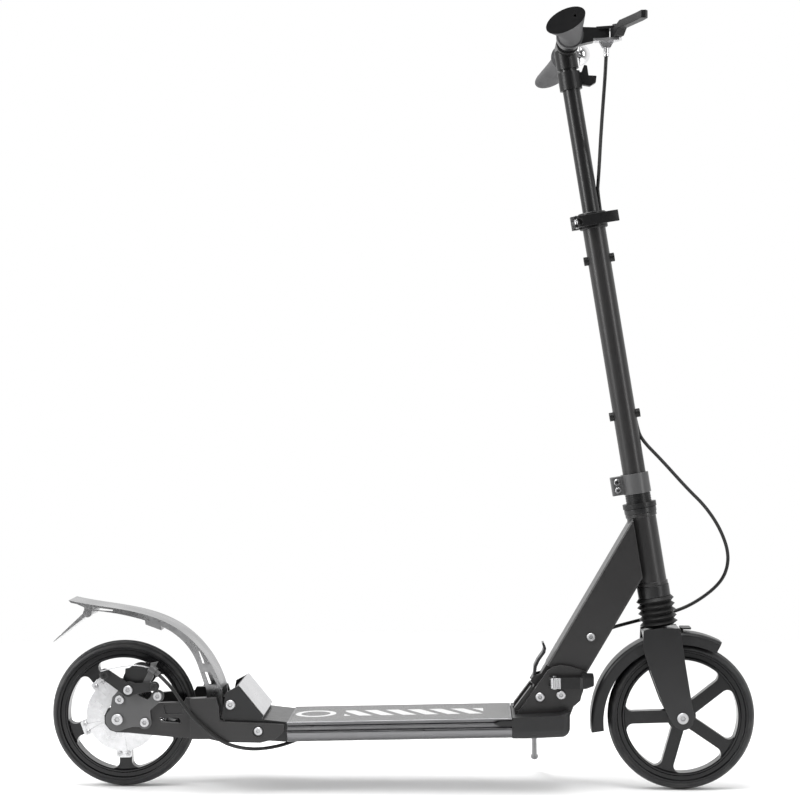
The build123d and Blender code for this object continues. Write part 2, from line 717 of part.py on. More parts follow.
with BuildPart() as bell_base:
    for low, high in ((BELL_Z - 5.8, BELL_Z - 2.9), (BELL_Z + 2.9, BELL_Z + 5.8)):
        with BuildSketch(Plane.XY.offset(low)):
            with Locations((STRIKER_X, STRIKER_Y - 3.2)):
                Rectangle(7, 13)
        extrude(amount=high - low)
    with BuildSketch(Plane.XY.offset(BELL_Z - 5.8)):
        with Locations((STRIKER_X, STRIKER_Y)):
            Circle(1.5)
    extrude(amount=11.6)
    add(rod(BAR_X, BAR_Z, BELL_Y - 7, BELL_Y + 7, 14))
    with BuildSketch(Plane.YZ.offset(230)):
        with Locations((BELL_Y, BELL_Z)):
            RectangleRounded(12, 12, 2)
    extrude(amount=16)
    with BuildSketch(Plane.YZ.offset(246)):
        with Locations((BELL_Y, BELL_Z)):
            Circle(3)
    extrude(amount=11)
    add(rod(BAR_X, BAR_Z, BELL_Y - 9, BELL_Y + 20, BAR_RADIUS + 0.02), mode=Mode.SUBTRACT)
save(bell_base, "bell_base")

with BuildPart() as bell_dome:
    with BuildSketch(Plane.XY.offset(BELL_Z)):
        with BuildLine():
            Line((247.5, BELL_Y + 14), (247.5, BELL_Y + 15.4))
            ThreePointArc((247.5, BELL_Y + 15.4), (256.8, BELL_Y + 11.5), (262, BELL_Y))
            Line((262, BELL_Y), (260.4, BELL_Y))
            ThreePointArc((260.4, BELL_Y), (255.6, BELL_Y + 10.4), (247.5, BELL_Y + 14))
        make_face()
    revolve(axis=Axis((250, BELL_Y, BELL_Z), (1, 0, 0)))
    with BuildSketch(Plane.YZ.offset(245)):
        with Locations((BELL_Y, BELL_Z)):
            Circle(3.05)
    extrude(amount=30, mode=Mode.SUBTRACT)
save(bell_dome, "bell_dome")

with BuildPart() as bell_striker:
    with BuildSketch(Plane.XY.offset(BELL_Z - 2.5)):
        with Locations((STRIKER_X, STRIKER_Y)):
            Circle(3.6)
        Polygon(
            (STRIKER_X - 2, STRIKER_Y + 2.5), (STRIKER_X + 3.4, STRIKER_Y + 1.5),
            (STRIKER_X + 14, STRIKER_Y + 2.7), (STRIKER_X + 15, STRIKER_Y + 6.5),
            (STRIKER_X + 3, STRIKER_Y + 6.1), align=None,
        )
    extrude(amount=5)
    with BuildSketch(Plane.XY.offset(BELL_Z - 5)):
        with Locations((STRIKER_X, STRIKER_Y)):
            Circle(1.55)
    extrude(amount=10, mode=Mode.SUBTRACT)
save(bell_striker, "bell_striker")

with BuildPart() as stem_hook:
    add(column_ring(956, 980, 15.5, INNER_TUBE_RADIUS + 0.02))
    arm = [
        (240, 964), (258, 961), (266, 966), (267, 975), (256, 975.5), (254, 989), (250, 990), (246, 980),
        (240, 980),
    ]
    add(slab(arm, -5, 5, rounding=1))
    add(column_ring(950, 990, INNER_TUBE_RADIUS + 0.02), mode=Mode.SUBTRACT)
save(stem_hook, "stem_hook")

# ---------------------------------------------------------------- neck
NECK_ALONG = (cos(NECK_ANGLE), sin(NECK_ANGLE))
NECK_ACROSS = (sin(NECK_ANGLE), -cos(NECK_ANGLE))


def neck_spot(along, across):
    """Side-view point from the fold pivot: distance up the neck, then forwards across it."""
    return (
        PIVOT_X + along * NECK_ALONG[0] + across * NECK_ACROSS[0],
        PIVOT_Z + along * NECK_ALONG[1] + across * NECK_ACROSS[1],
    )


BOX_START = 41.0
NECK_END = 292.0
LATCH_ALONG = 14.0
LATCH_ACROSS = -NECK_BACK - 4.4
LATCH_X, LATCH_Z = neck_spot(LATCH_ALONG, LATCH_ACROSS)

with BuildPart() as neck_beam:
    box = [
        neck_spot(BOX_START, -NECK_BACK), neck_spot(NECK_END, -NECK_BACK),
        neck_spot(NECK_END, NECK_FRONT), neck_spot(BOX_START, NECK_FRONT),
    ]
    add(slab(box, -NECK_HALF, NECK_HALF))
    side_edges = neck_beam.edges().filter_by(Axis((0, 0, 0), (NECK_ALONG[0], 0, NECK_ALONG[1])))
    fillet(side_edges, 3)
    weld_line = (axis_x(330) - 14, 0, 330)
    with BuildSketch(Plane(origin=weld_line, x_dir=(0, 1, 0), z_dir=(cos(LEAN), 0, sin(LEAN)))):
        Rectangle(100, 400)
    extrude(amount=120, mode=Mode.SUBTRACT)
    add(column_ring(230, 420, 20.02), mode=Mode.SUBTRACT)
    add(column_ring(230, HEAD_LOW + 5.1, 22.4), mode=Mode.SUBTRACT)
    add(column_ring(HEAD_HIGH - 5.1, 430, 22.4), mode=Mode.SUBTRACT)
    cavity = [
        neck_spot(BOX_START - 1, -NECK_BACK + NECK_WALL), neck_spot(240, -NECK_BACK + NECK_WALL),
        neck_spot(194, NECK_FRONT - NECK_WALL), neck_spot(BOX_START - 1, NECK_FRONT - NECK_WALL),
    ]
    add(slab(cavity, -NECK_HALF + NECK_WALL, NECK_HALF - NECK_WALL), mode=Mode.SUBTRACT)
    tongue = [
        neck_spot(0, -NECK_BACK), neck_spot(70, -NECK_BACK), neck_spot(70, 1), neck_spot(0, 1),
    ]
    add(slab(tongue, -16, 16))
    add(rod(PIVOT_X, PIVOT_Z, -16, 16, NECK_BACK))
    add(rod(PIVOT_X, PIVOT_Z, -20, 20, AXLE_RADIUS + RUNNING), mode=Mode.SUBTRACT)
    with BuildSketch(Plane(origin=(304, 23.7, 221), z_dir=(-0.952, -0.194, -0.238))):
        Circle(4.0)
    extrude(amount=36, mode=Mode.SUBTRACT)
    add(rod(257.8, 209.8, -NECK_HALF - 1, -NECK_HALF + NECK_WALL + 1, 3.05), mode=Mode.SUBTRACT)
    add(rod(257.8, 209.8, NECK_HALF - NECK_WALL - 1, NECK_HALF + 1, 3.05), mode=Mode.SUBTRACT)
    ears = [
        neck_spot(LATCH_ALONG - 6, -NECK_BACK), neck_spot(LATCH_ALONG - 4, LATCH_ACROSS - 3.2),
        neck_spot(LATCH_ALONG + 4, LATCH_ACROSS - 3.2), neck_spot(LATCH_ALONG + 12, -NECK_BACK),
    ]
    add(slab(ears, -16, -12.4))
    add(slab(ears, 12.4, 16))
    add(rod(LATCH_X, LATCH_Z, -15.5, 15.5, 2.0))
save(neck_beam, "neck_beam")

with BuildPart() as neck_bolts:
    add(cap_screw(257.8, 209.8, -NECK_HALF, -NECK_HALF + 8, 5.5, 3, 3))
    add(cap_screw(257.8, 209.8, NECK_HALF, NECK_HALF - 8, 5.5, 3, 3, out=1))
save(neck_bolts, "neck_bolts")

# latch: a sprung blade behind the neck that locks it upright
with BuildPart() as latch_pedal:
    blade = [
        (LATCH_X - 2.2, LATCH_Z - 2), (180.2, 158), (181.2, 168), (185, 176), (192.5, 186.5), (194.2, 191.5),
        (192, 199), (194.8, 199.8), (198, 192), (196.8, 186), (189, 175), (185.2, 166.5), (184.2, 158),
        (LATCH_X + 2.6, LATCH_Z - 2),
    ]
    add(slab(blade, -12, 12))
    add(rod(LATCH_X, LATCH_Z, -12, 12, 3.6))
    add(rod(LATCH_X, LATCH_Z, -14, 14, 2.05), mode=Mode.SUBTRACT)
save(latch_pedal, "latch_pedal")

# ---------------------------------------------------------------- deck and fold bracket
def deck_top(x):
    """Height of the deck's top face at a forward position."""
    return DECK_MID_TOP + tan(DECK_TILT) * x


def deck_plane(x):
    """Plane square to the deck's length, with local x to the left and local y up from the top face."""
    return Plane(
        origin=(x, 0, deck_top(x)),
        x_dir=(0, 1, 0),
        z_dir=(cos(DECK_TILT), 0, sin(DECK_TILT)),
    )


DECK_LENGTH = (DECK_FRONT - DECK_REAR) / cos(DECK_TILT)
TAPE_THICK = 0.8

with BuildPart() as deck_extrusion:
    half = [
        (66.2, -TAPE_THICK), (66.8, 0), (DECK_HALF - 0.8, 0), (DECK_HALF, -0.8), (DECK_HALF, -2.4),
        (66.2, -3.2),
        (65.2, -5.8), (67, -6.6), (67, -7.6), (65.2, -8.4), (65.2, -12.0), (68.4, -13.6), (69.2, -16.5),
        (67.5, -21.5), (63, -25.8), (56, -28.6), (48, -DECK_THICK),
    ]
    with BuildSketch(deck_plane(DECK_REAR)):
        Polygon(*(half + [(-y, z) for y, z in reversed(half)]), align=None)
        with Locations((15.5, -15.2), (-15.5, -15.2)):
            Rectangle(27.5, 23.4, mode=Mode.SUBTRACT)
        with Locations((44.5, -14.7), (-44.5, -14.7)):
            Rectangle(24, 22.4, mode=Mode.SUBTRACT)
    extrude(amount=DECK_LENGTH)
    with BuildSketch(Plane.XY.offset(66)):
        with Locations((-126, 6)):
            RectangleRounded(44, 26, 5)
    extrude(amount=11, mode=Mode.SUBTRACT)
save(deck_extrusion, "deck_extrusion")

with BuildPart() as grip_tape:
    with BuildSketch(deck_plane(DECK_REAR + 3)):
        with Locations((0, -TAPE_THICK / 2)):
            Rectangle(132, TAPE_THICK)
    extrude(amount=DECK_LENGTH - 6)
save(grip_tape, "grip_tape")

CAP_HALF = 68.6
CAP_FRONT = 228.2
BRACKET_FLOOR = 104.0

with BuildPart() as front_cap:
    with BuildSketch(side(CAP_HALF)):
        with BuildLine():
            Polyline(
                (DECK_FRONT + 0.8, 105.6), (214, 109), (225, 113), (CAP_FRONT, 111.5), (CAP_FRONT, 90.5),
            )
            RadiusArc((CAP_FRONT, 90.5), (216, 78.5), 12.2)
            Polyline((216, 78.5), (170, 76.3), (DECK_FRONT + 0.8, 76.2), (DECK_FRONT + 0.8, 105.6))
        make_face()
    extrude(amount=2 * CAP_HALF)
    upright = front_cap.edges().filter_by(Axis.Z).group_by(Axis.X)[-1]
    fillet(upright, 12)
    with BuildSketch(Plane.XY.offset(BRACKET_FLOOR)):
        with Locations(((153 + 231) / 2, 0)):
            Rectangle(231 - 153, 78)
    extrude(amount=20, mode=Mode.SUBTRACT)
    with BuildSketch(Plane.XY.offset(80.5)):
        with Locations(((148 + 222) / 2, 0)):
            Rectangle(222 - 148, 122)
    extrude(amount=20, mode=Mode.SUBTRACT)
    for y in (-CAP_HALF, CAP_HALF - 1.4):
        add(slab([(126, 97.5), (134, 101.2), (152, 101.6), (152, 94), (136, 93.8)], y, y + 1.4))
    with BuildSketch(Plane.XY.offset(98)):
        with Locations((216, 21)):
            RectangleRounded(22, 13, 3)
    extrude(amount=10, mode=Mode.SUBTRACT)
save(front_cap, "front_cap")

PLATE_INNER = 32.0
PLATE_OUTER = 38.0
QR_X = 208.0
QR_Z = 150.0
STOP_X = 216.9
STOP_Z = 132.3

BRACKET_OUTLINE = [
    (158, BRACKET_FLOOR), (159.8, 110), (198.5, 164.5), (206, 170), (216, 172.4), (230, 170.5), (243, 166.5),
    (250.9, 163.4), (247, 138), (244.7, 131.6), (243, 124.6), (234, 116.8), (229, BRACKET_FLOOR),
]

with BuildPart() as fold_bracket:
    plate_holes = [(PIVOT_X, PIVOT_Z, 4.02), (STOP_X, STOP_Z, 4.02), (QR_X, QR_Z, 4.02)]
    add(slab(BRACKET_OUTLINE, -PLATE_OUTER, -PLATE_INNER, holes=plate_holes))
    add(slab(BRACKET_OUTLINE, PLATE_INNER, PLATE_OUTER, holes=plate_holes))
    with BuildSketch(Plane.XY.offset(BRACKET_FLOOR)):
        with Locations(((156 + 229) / 2, 0)):
            Rectangle(229 - 156, 2 * PLATE_INNER + 2)
    extrude(amount=6)
    lug = [(155, 104.5), (154.1, 113.1), (176.4, 142.9), (180.5, 139.5), (167, 112), (167, 104.5)]
    add(slab(lug, -30, -18))
    add(slab(lug, 18, 30))
    with BuildSketch(Plane.XY.offset(98)):
        with Locations((218, 21)):
            RectangleRounded(22, 13, 3)
    extrude(amount=20, mode=Mode.SUBTRACT)
save(fold_bracket, "fold_bracket")

QR_PIVOT_Y = -46.5

with BuildPart() as fold_bolts:
    for x, z in ((PIVOT_X, PIVOT_Z), (STOP_X, STOP_Z)):
        add(cap_screw(x, z, -PLATE_OUTER, PLATE_OUTER + 1, 6, 3.2, AXLE_RADIUS))
        add(cap_screw(x, z, PLATE_OUTER, PLATE_OUTER - 2, 6, 3.2, AXLE_RADIUS, out=1))
    add(rod(QR_X, QR_Z, -PLATE_OUTER - 0.6, PLATE_OUTER + 9, AXLE_RADIUS))
    add(rod(QR_X, QR_Z, QR_PIVOT_Y, -PLATE_OUTER, 3.2))
    with BuildSketch(side(PLATE_OUTER + 7)):
        with Locations((QR_X, QR_Z)):
            RegularPolygon(8, 6)
    extrude(amount=6.8)
    with BuildSketch(Plane.XY.offset(QR_Z - 9)):
        with Locations((QR_X, QR_PIVOT_Y)):
            Circle(2.6)
    extrude(amount=18)
save(fold_bolts, "fold_bolts")

with BuildPart() as fold_lever:
    with BuildSketch(Plane.XY.offset(QR_Z - 7.5)):
        with Locations((QR_X, QR_PIVOT_Y)):
            Circle(7.6)
        Polygon(
            (QR_X - 7, QR_PIVOT_Y - 3), (QR_X + 2, QR_PIVOT_Y - 7.6), (242, -50.5), (246, -53), (260, -52),
            (261, -46), (258, -41.5), (244, -41.5), (228, -44.2), (QR_X + 6, QR_PIVOT_Y + 4.6), align=None,
        )
    extrude(amount=15)
    with BuildSketch(Plane.XZ.offset(60)):
        Polygon((244, 140.5), (262, 140.5), (262, 147), align=None)
    extrude(amount=-30, mode=Mode.SUBTRACT)
    with BuildSketch(Plane.XY.offset(QR_Z + 7.4)):
        Polygon((244, -53), (260, -52), (261, -46), (258, -41.5), (244, -41.5), align=None)
    extrude(amount=5.5, taper=12)
    for x in (247, 251, 255):
        with BuildSketch(Plane.XY.offset(QR_Z - 10)):
            with Locations((x, -53.5)):
                Circle(1.1)
        extrude(amount=30, mode=Mode.SUBTRACT)
    with BuildSketch(Plane.XY.offset(QR_Z - 10)):
        with Locations((QR_X, QR_PIVOT_Y)):
            Circle(2.65)
    extrude(amount=30, mode=Mode.SUBTRACT)
    with BuildSketch(Plane.XY.offset(QR_Z - 3.7)):
        with Locations((QR_X, QR_PIVOT_Y)):
            Circle(9.6)
    extrude(amount=7.4, mode=Mode.SUBTRACT)
save(fold_lever, "fold_lever")

# ---------------------------------------------------------------- kickstand on the left
STAND_X = 183.5
STAND_Y = 58.0
STAND_Z = 66.5
FOOT_X = 186.0
FOOT_Y = 120.0
FOOT_Z = 22.0
STAND_LEAN = atan2(FOOT_Y - STAND_Y, STAND_Z - FOOT_Z)
STAND_AXIS = Vector(0, cos(STAND_LEAN), sin(STAND_LEAN))
STAND_PIVOT = Vector(STAND_X, STAND_Y, STAND_Z)

with BuildPart() as stand_bracket:
    with BuildSketch(Plane(origin=STAND_PIVOT + STAND_AXIS * 4.4, x_dir=(1, 0, 0), z_dir=STAND_AXIS)):
        Circle(9)
        Circle(3.05, mode=Mode.SUBTRACT)
    extrude(amount=4)
    with BuildSketch(Plane.XY.offset(69)):
        with Locations((STAND_X, 52)):
            Rectangle(18, 22)
    extrude(amount=7.2)
    swing_room = Plane(origin=STAND_PIVOT - STAND_AXIS * 30, x_dir=(1, 0, 0), z_dir=STAND_AXIS)
    with BuildSketch(swing_room):
        Circle(16)
    extrude(amount=34.3, mode=Mode.SUBTRACT)
    with BuildSketch(Plane.XY.offset(76.1)):
        with Locations((STAND_X, 60)):
            Rectangle(60, 60)
    extrude(amount=20, mode=Mode.SUBTRACT)
    with BuildSketch(Plane(origin=STAND_PIVOT - STAND_AXIS * 7, x_dir=(1, 0, 0), z_dir=STAND_AXIS)):
        Circle(3.0)
    extrude(amount=15.2)
    with BuildSketch(Plane(origin=STAND_PIVOT - STAND_AXIS * 8.6, x_dir=(1, 0, 0), z_dir=STAND_AXIS)):
        RegularPolygon(5, 6)
    extrude(amount=4)
save(stand_bracket, "kickstand_bracket")

with BuildPart() as kickstand:
    with BuildSketch(Plane(origin=STAND_PIVOT - STAND_AXIS * 4, x_dir=(1, 0, 0), z_dir=STAND_AXIS)):
        Circle(7)
    extrude(amount=8)
    foot = Vector(FOOT_X, FOOT_Y, FOOT_Z)
    leg = foot - STAND_PIVOT
    with BuildSketch(Plane(origin=STAND_PIVOT, z_dir=leg)):
        Circle(3.6)
    extrude(amount=leg.length)
    with BuildSketch(Plane(origin=foot - leg.normalized() * 7, z_dir=leg)):
        Circle(3.6)
    extrude(amount=7, taper=-14)
    with BuildSketch(Plane(origin=STAND_PIVOT - STAND_AXIS * 10, x_dir=(1, 0, 0), z_dir=STAND_AXIS)):
        Circle(3.05)
    extrude(amount=20, mode=Mode.SUBTRACT)
save(kickstand, "kickstand")

# ---------------------------------------------------------------- rear bracket and swingarm
CHEEK_INNER = 58.0
CHEEK_OUTER = 63.6
ARM_FRONT_INNER = 65.0
ARM_FRONT_OUTER = 71.5
ARM_REAR_INNER = 50.0
ARM_REAR_OUTER = 58.0

with BuildPart() as rear_bracket:
    casting = [
        (DECK_REAR - 0.1, 97.6), (-187, 101.4), (-236, 101.4), (-236, 76), (DECK_REAR - 0.1, 71),
    ]
    add(slab(casting, -CHEEK_OUTER, CHEEK_OUTER))
    with BuildSketch(Plane.XY.offset(60)):
        with Locations((-194, 0)):
            Rectangle(84, 108)
    extrude(amount=37, mode=Mode.SUBTRACT)
    cheek = [(-241.2, 101.4), (-235.1, 136.9), (-218.3, 146), (-184.6, 105.4), (-188, 101.2)]
    add(slab(cheek, -CHEEK_OUTER, -CHEEK_INNER))
    add(slab(cheek, CHEEK_INNER, CHEEK_OUTER))
    roof = [(-184.6, 105.4), (-218.3, 146), (-221.5, 144.4), (-189, 103.2)]
    add(slab(roof, -CHEEK_INNER - 1, CHEEK_INNER + 1))
    pad = [(-238, 101.0), (-238, 128), (-232, 133), (-232, 101.0)]
    add(slab(pad, -20, 20))
    web = [(-236, 100), (-236, 104), (-186, 104), (-186, 100)]
    add(slab(web, -CHEEK_OUTER, CHEEK_OUTER))
    stiff = [(-233, 103), (-233, 132), (-221, 142), (-192, 106), (-192, 103)]
    add(slab(stiff, -2.5, 2.5))
    add(rod(SWING_X, SWING_Z, -CHEEK_OUTER - 1, CHEEK_OUTER + 1, 5.02), mode=Mode.SUBTRACT)
    add(rod(-228.8, 120.6, -CHEEK_OUTER - 1, -CHEEK_INNER + 1, 3.55), mode=Mode.SUBTRACT)
    add(rod(-228.8, 120.6, CHEEK_INNER - 1, CHEEK_OUTER + 1, 3.55), mode=Mode.SUBTRACT)
save(rear_bracket, "rear_bracket")

with BuildPart() as heel_plate:
    plate = [(-183.6, 106.6), (-217.6, 147.4), (-218.4, 146.6), (-184.5, 105.8)]
    add(slab(plate, -CHEEK_OUTER + 2, CHEEK_OUTER - 2))
save(heel_plate, "heel_plate")

with BuildPart() as bracket_bolts:
    add(cap_screw(-228.8, 120.6, -CHEEK_OUTER, -CHEEK_INNER + 4, 6.6, 3, 3.5))
    add(cap_screw(-228.8, 120.6, CHEEK_OUTER, CHEEK_INNER - 4, 6.6, 3, 3.5, out=1))
    add(rod(SWING_X, SWING_Z, -70.2, 70.2, 5.0))
    add(cap_screw(SWING_X, SWING_Z, -70, -60, 5.6, 2.2, 5.0))
    add(cap_screw(SWING_X, SWING_Z, 70, 60, 5.6, 2.2, 5.0, out=1))
save(bracket_bolts, "rear_bracket_bolts")

FRONT_ARM_OUTLINE = [
    (-155.5, 95.6), (-188.4, 97.4), (-242.4, 99.0), (-243.4, 118), (-247.6, 131.2), (-282, 129.6),
    (-282, 75.2),
    (-256.8, 75.4), (-238.6, 71.4), (-187.7, 70.8), (-167, 76), (-156, 86.2),
]
REAR_ARM_OUTLINE = [
    (-262, 129.2), (-290, 128.6), (-293, 123), (-321, 122.2), (-366, 118), (-384, 118.4), (-396, 113.5),
    (-400.6, 104), (-400, 93), (-393, 84.6), (-384, 81.6), (-368, 81.2), (-302.5, 75.2), (-262, 74.8),
]


def swing_side():
    """Right-hand arm: an outer plate at the front, stepping in to the rear beam."""
    with BuildPart() as arm:
        add(slab(FRONT_ARM_OUTLINE, -ARM_FRONT_OUTER, -ARM_FRONT_INNER))
        step = [(-262, 129.6), (-282, 128.6), (-282, 75.2), (-262, 75.4)]
        add(slab(step, -ARM_FRONT_INNER - 1, -ARM_REAR_INNER))
        add(slab(REAR_ARM_OUTLINE, -ARM_REAR_OUTER, -ARM_REAR_INNER))
        window = [(-326, 102), (-300, 102), (-297, 98.5), (-297, 94), (-324, 96)]
        add(slab(window, -ARM_REAR_OUTER - 1, -ARM_REAR_INNER + 1), mode=Mode.SUBTRACT)
        relief = [(-294, 122), (-321, 119.5), (-318, 107), (-294, 107)]
        add(slab(relief, -ARM_REAR_OUTER - 1, -ARM_REAR_OUTER + 2), mode=Mode.SUBTRACT)
        add(rod(SWING_X, SWING_Z, -75, -60, 5.05), mode=Mode.SUBTRACT)
        add(rod(SWING_X, SWING_Z, -75, -69.8, 8.2), mode=Mode.SUBTRACT)
        add(rod(-HALF_BASE, WHEEL_RADIUS, -66, -48, AXLE_RADIUS + 0.02), mode=Mode.SUBTRACT)
    return arm.part


right_arm = swing_side()

with BuildPart() as swingarm:
    add(right_arm)
    add(right_arm.mirror(Plane.XZ))
    beam = [(-274, 79), (-252, 79), (-252, 96), (-262, 98), (-274, 92)]
    add(slab(beam, -ARM_REAR_INNER - 1, ARM_REAR_INNER + 1, rounding=1.5))
    tower = [(-264, 94), (-252, 94), (-252, 126), (-258, 126)]
    add(slab(tower, -16, 16))
    for y in (-37.5, 31.5):
        add(slab([(-262, 94), (-243.4, 97), (-243.4, 106), (-250, 107), (-262, 100)], y, y + 6))
    add(rod(FOOT_BRAKE_X, FOOT_BRAKE_Z, -40, 40, 3.05), mode=Mode.SUBTRACT)
save(swingarm, "swingarm")

with BuildPart() as suspension_block:
    add(slab([(-251.9, 106), (-251.9, 124), (-238.1, 124), (-238.1, 106)], -14, 14, rounding=2))
save(suspension_block, "suspension_block")

with BuildPart() as rear_axle:
    add(rod(-HALF_BASE, WHEEL_RADIUS, -62.6, 58, AXLE_RADIUS))
    add(cap_screw(-HALF_BASE, WHEEL_RADIUS, -62.6, -50, 7.5, 3.4, AXLE_RADIUS))
    add(cap_screw(-HALF_BASE, WHEEL_RADIUS, ARM_REAR_OUTER, 50, 7.5, 3.4, AXLE_RADIUS, out=1))
    for low, high in ((-ARM_REAR_INNER + 0.1, -HUB_HALF - 0.4), (HUB_HALF + 0.4, ARM_REAR_INNER - 0.1)):
        add(rod(-HALF_BASE, WHEEL_RADIUS, low, high, 6.2, AXLE_RADIUS))
save(rear_axle, "rear_axle")

# ---------------------------------------------------------------- hand brake at the rear
CARRIER_OUTER = -62.5
CARRIER_INNER = -58.1
ARM_INNER = -65.9
ARM_OUTER = -70.1
CARRIER_BOLTS = [(-345, 96), (-379, 126.6), (-327.5, 131.6)]

with BuildPart() as caliper_carrier:
    with BuildSketch(side(CARRIER_INNER)):
        with Locations((-HALF_BASE, WHEEL_RADIUS)):
            Circle(16)
        with Locations((-345, 96)):
            Circle(9)
        with Locations((-379, 126.6)):
            Circle(9.5)
        with Locations((-327.5, 131.6)):
            Circle(8.5)
        with Locations((ARM_PIVOT_X, ARM_PIVOT_Z)):
            Circle(10)
        Polygon(
            (-395, 92), (-389, 130), (-372, 149), (-359, 149), (-353, 132), (-342, 126), (-326, 139),
            (-320, 128), (-338, 112), (-336.5, 98), (-343, 87.5), (-352, 90), (-362, 90), (-372, 87),
            (-380, 84.5), align=None,
        )
        with Locations((-HALF_BASE, WHEEL_RADIUS)):
            Circle(AXLE_RADIUS + 0.02, mode=Mode.SUBTRACT)
        with Locations((ARM_PIVOT_X, ARM_PIVOT_Z)):
            Circle(4.05, mode=Mode.SUBTRACT)
        for x, z in CARRIER_BOLTS:
            with Locations((x, z)):
                Circle(3.05, mode=Mode.SUBTRACT)
    extrude(amount=CARRIER_INNER - CARRIER_OUTER)
    with BuildSketch(Plane(origin=(-338, -60.5, 169.8), z_dir=(0.75, -0.12, -0.58))):
        Circle(6)
    extrude(amount=9.7)
    with BuildSketch(Plane(origin=(-331.2, -61.7, 164.5), z_dir=(0.75, -0.12, -0.58))):
        Circle(4.2)
    extrude(amount=7)
    cable_stop = [(-352, 142), (-338, 168), (-337, 176), (-327, 178), (-331, 171), (-334, 156), (-344, 140)]
    add(slab(cable_stop, -62.4, -58.2))
save(caliper_carrier, "caliper_carrier")

with BuildPart() as carrier_bolts:
    for x, z in CARRIER_BOLTS:
        add(cap_screw(x, z, CARRIER_OUTER, CARRIER_INNER + 0.1, 6, 3, 3))
    add(cap_screw(ARM_PIVOT_X, ARM_PIVOT_Z, ARM_OUTER - 0.3, -54, 6, 2.6, 4.0))
    add(rod(ARM_PIVOT_X, ARM_PIVOT_Z, CARRIER_OUTER - 3.1, CARRIER_OUTER, 7))
save(carrier_bolts, "carrier_bolts")

with BuildPart() as caliper_body:
    with BuildSketch(side(-27)):
        with BuildLine():
            Line((-376, 149), (-340, 149))
            Line((-340, 149), (-340, 165))
            ThreePointArc((-340, 165), (-352, 172.8), (-366, 169.5))
            ThreePointArc((-366, 169.5), (-373, 161), (-376, 149))
        make_face()
    extrude(amount=31)
    add(slab([(-378, 122), (-374, 152), (-348, 152), (-352, 122)], -57.9, -34))
    add(slab([(-374, 149), (-372, 168), (-350, 172), (-342, 160), (-342, 149)], -57.9, -56))
    with BuildSketch(Plane(origin=(-340, -60.3, 171.3), z_dir=(0.75, -0.12, -0.58))):
        Circle(6.4)
    extrude(amount=14, mode=Mode.SUBTRACT)
    add(rod(ARM_PIVOT_X, ARM_PIVOT_Z, -60, -50, 4.05), mode=Mode.SUBTRACT)
    for x, z in CARRIER_BOLTS[1:2]:
        add(rod(x, z, -70, -50, 3.05), mode=Mode.SUBTRACT)
    pad_face = Plane(origin=(-365.1, -20.5, 131.8), x_dir=(0.469, 0, 0.883), z_dir=(0, 1, 0))
    with BuildSketch(pad_face):
        RectangleRounded(13, 18, 2)
    extrude(amount=-15)
save(caliper_body, "caliper_body")

with BuildPart() as caliper_arm:
    with BuildSketch(side(ARM_INNER)):
        with Locations((ARM_PIVOT_X, ARM_PIVOT_Z)):
            Circle(9.5)
        with Locations((-398.1, 161.6)):
            Circle(7.5)
        with Locations((-331, 145.6)):
            Circle(6.5)
        Polygon((-401, 155), (-369, 132), (-362, 147), (-394, 168), align=None)
        Polygon((-365, 133), (-331, 140), (-331, 151), (-368, 149), align=None)
        with Locations((ARM_PIVOT_X, ARM_PIVOT_Z)):
            Circle(4.05, mode=Mode.SUBTRACT)
    extrude(amount=ARM_INNER - ARM_OUTER)
    add(cap_screw(-398.1, 161.6, ARM_OUTER, ARM_INNER, 6.2, 2.6, 2.5))
    add(cap_screw(-331, 145.6, ARM_OUTER, ARM_INNER, 5.2, 2.6, 2.5))
save(caliper_arm, "caliper_arm")

# ---------------------------------------------------------------- rear mudguard and foot brake
FENDER_RIB_INNER = 26.5
REAR_FENDER_HALF = 30.0
OUTER_CURVE = [
    (-455, 257.2), (-390.9, 246.6), (-349.9, 238.2), (-309, 221.2), (-277.5, 195.2), (-256, 165),
    (-244.6, 137),
]
INNER_CURVE = [
    (-266, 137), (-271.5, 152), (-281, 178), (-296.5, 200.8), (-320.8, 219.0), (-350.7, 230.4),
    (-390.6, 239.6), (-424, 243.4),
]


def curved_plate(outer, inner, y_low, y_high):
    """Plate bounded by two side-view curves that run opposite ways."""
    with BuildPart() as plate:
        with BuildSketch(side(y_high)):
            with BuildLine():
                Spline(*outer)
                Line(outer[-1], inner[0])
                Spline(*inner)
                Line(inner[-1], outer[0])
            make_face()
        extrude(amount=y_high - y_low)
    return plate.part


SKIN = [
    (-246.8, 136.4), (-258.2, 163.6), (-279.4, 193.2), (-310.2, 218.6), (-350.5, 235.4), (-391.2, 243.8),
    (-452, 253.9),
]

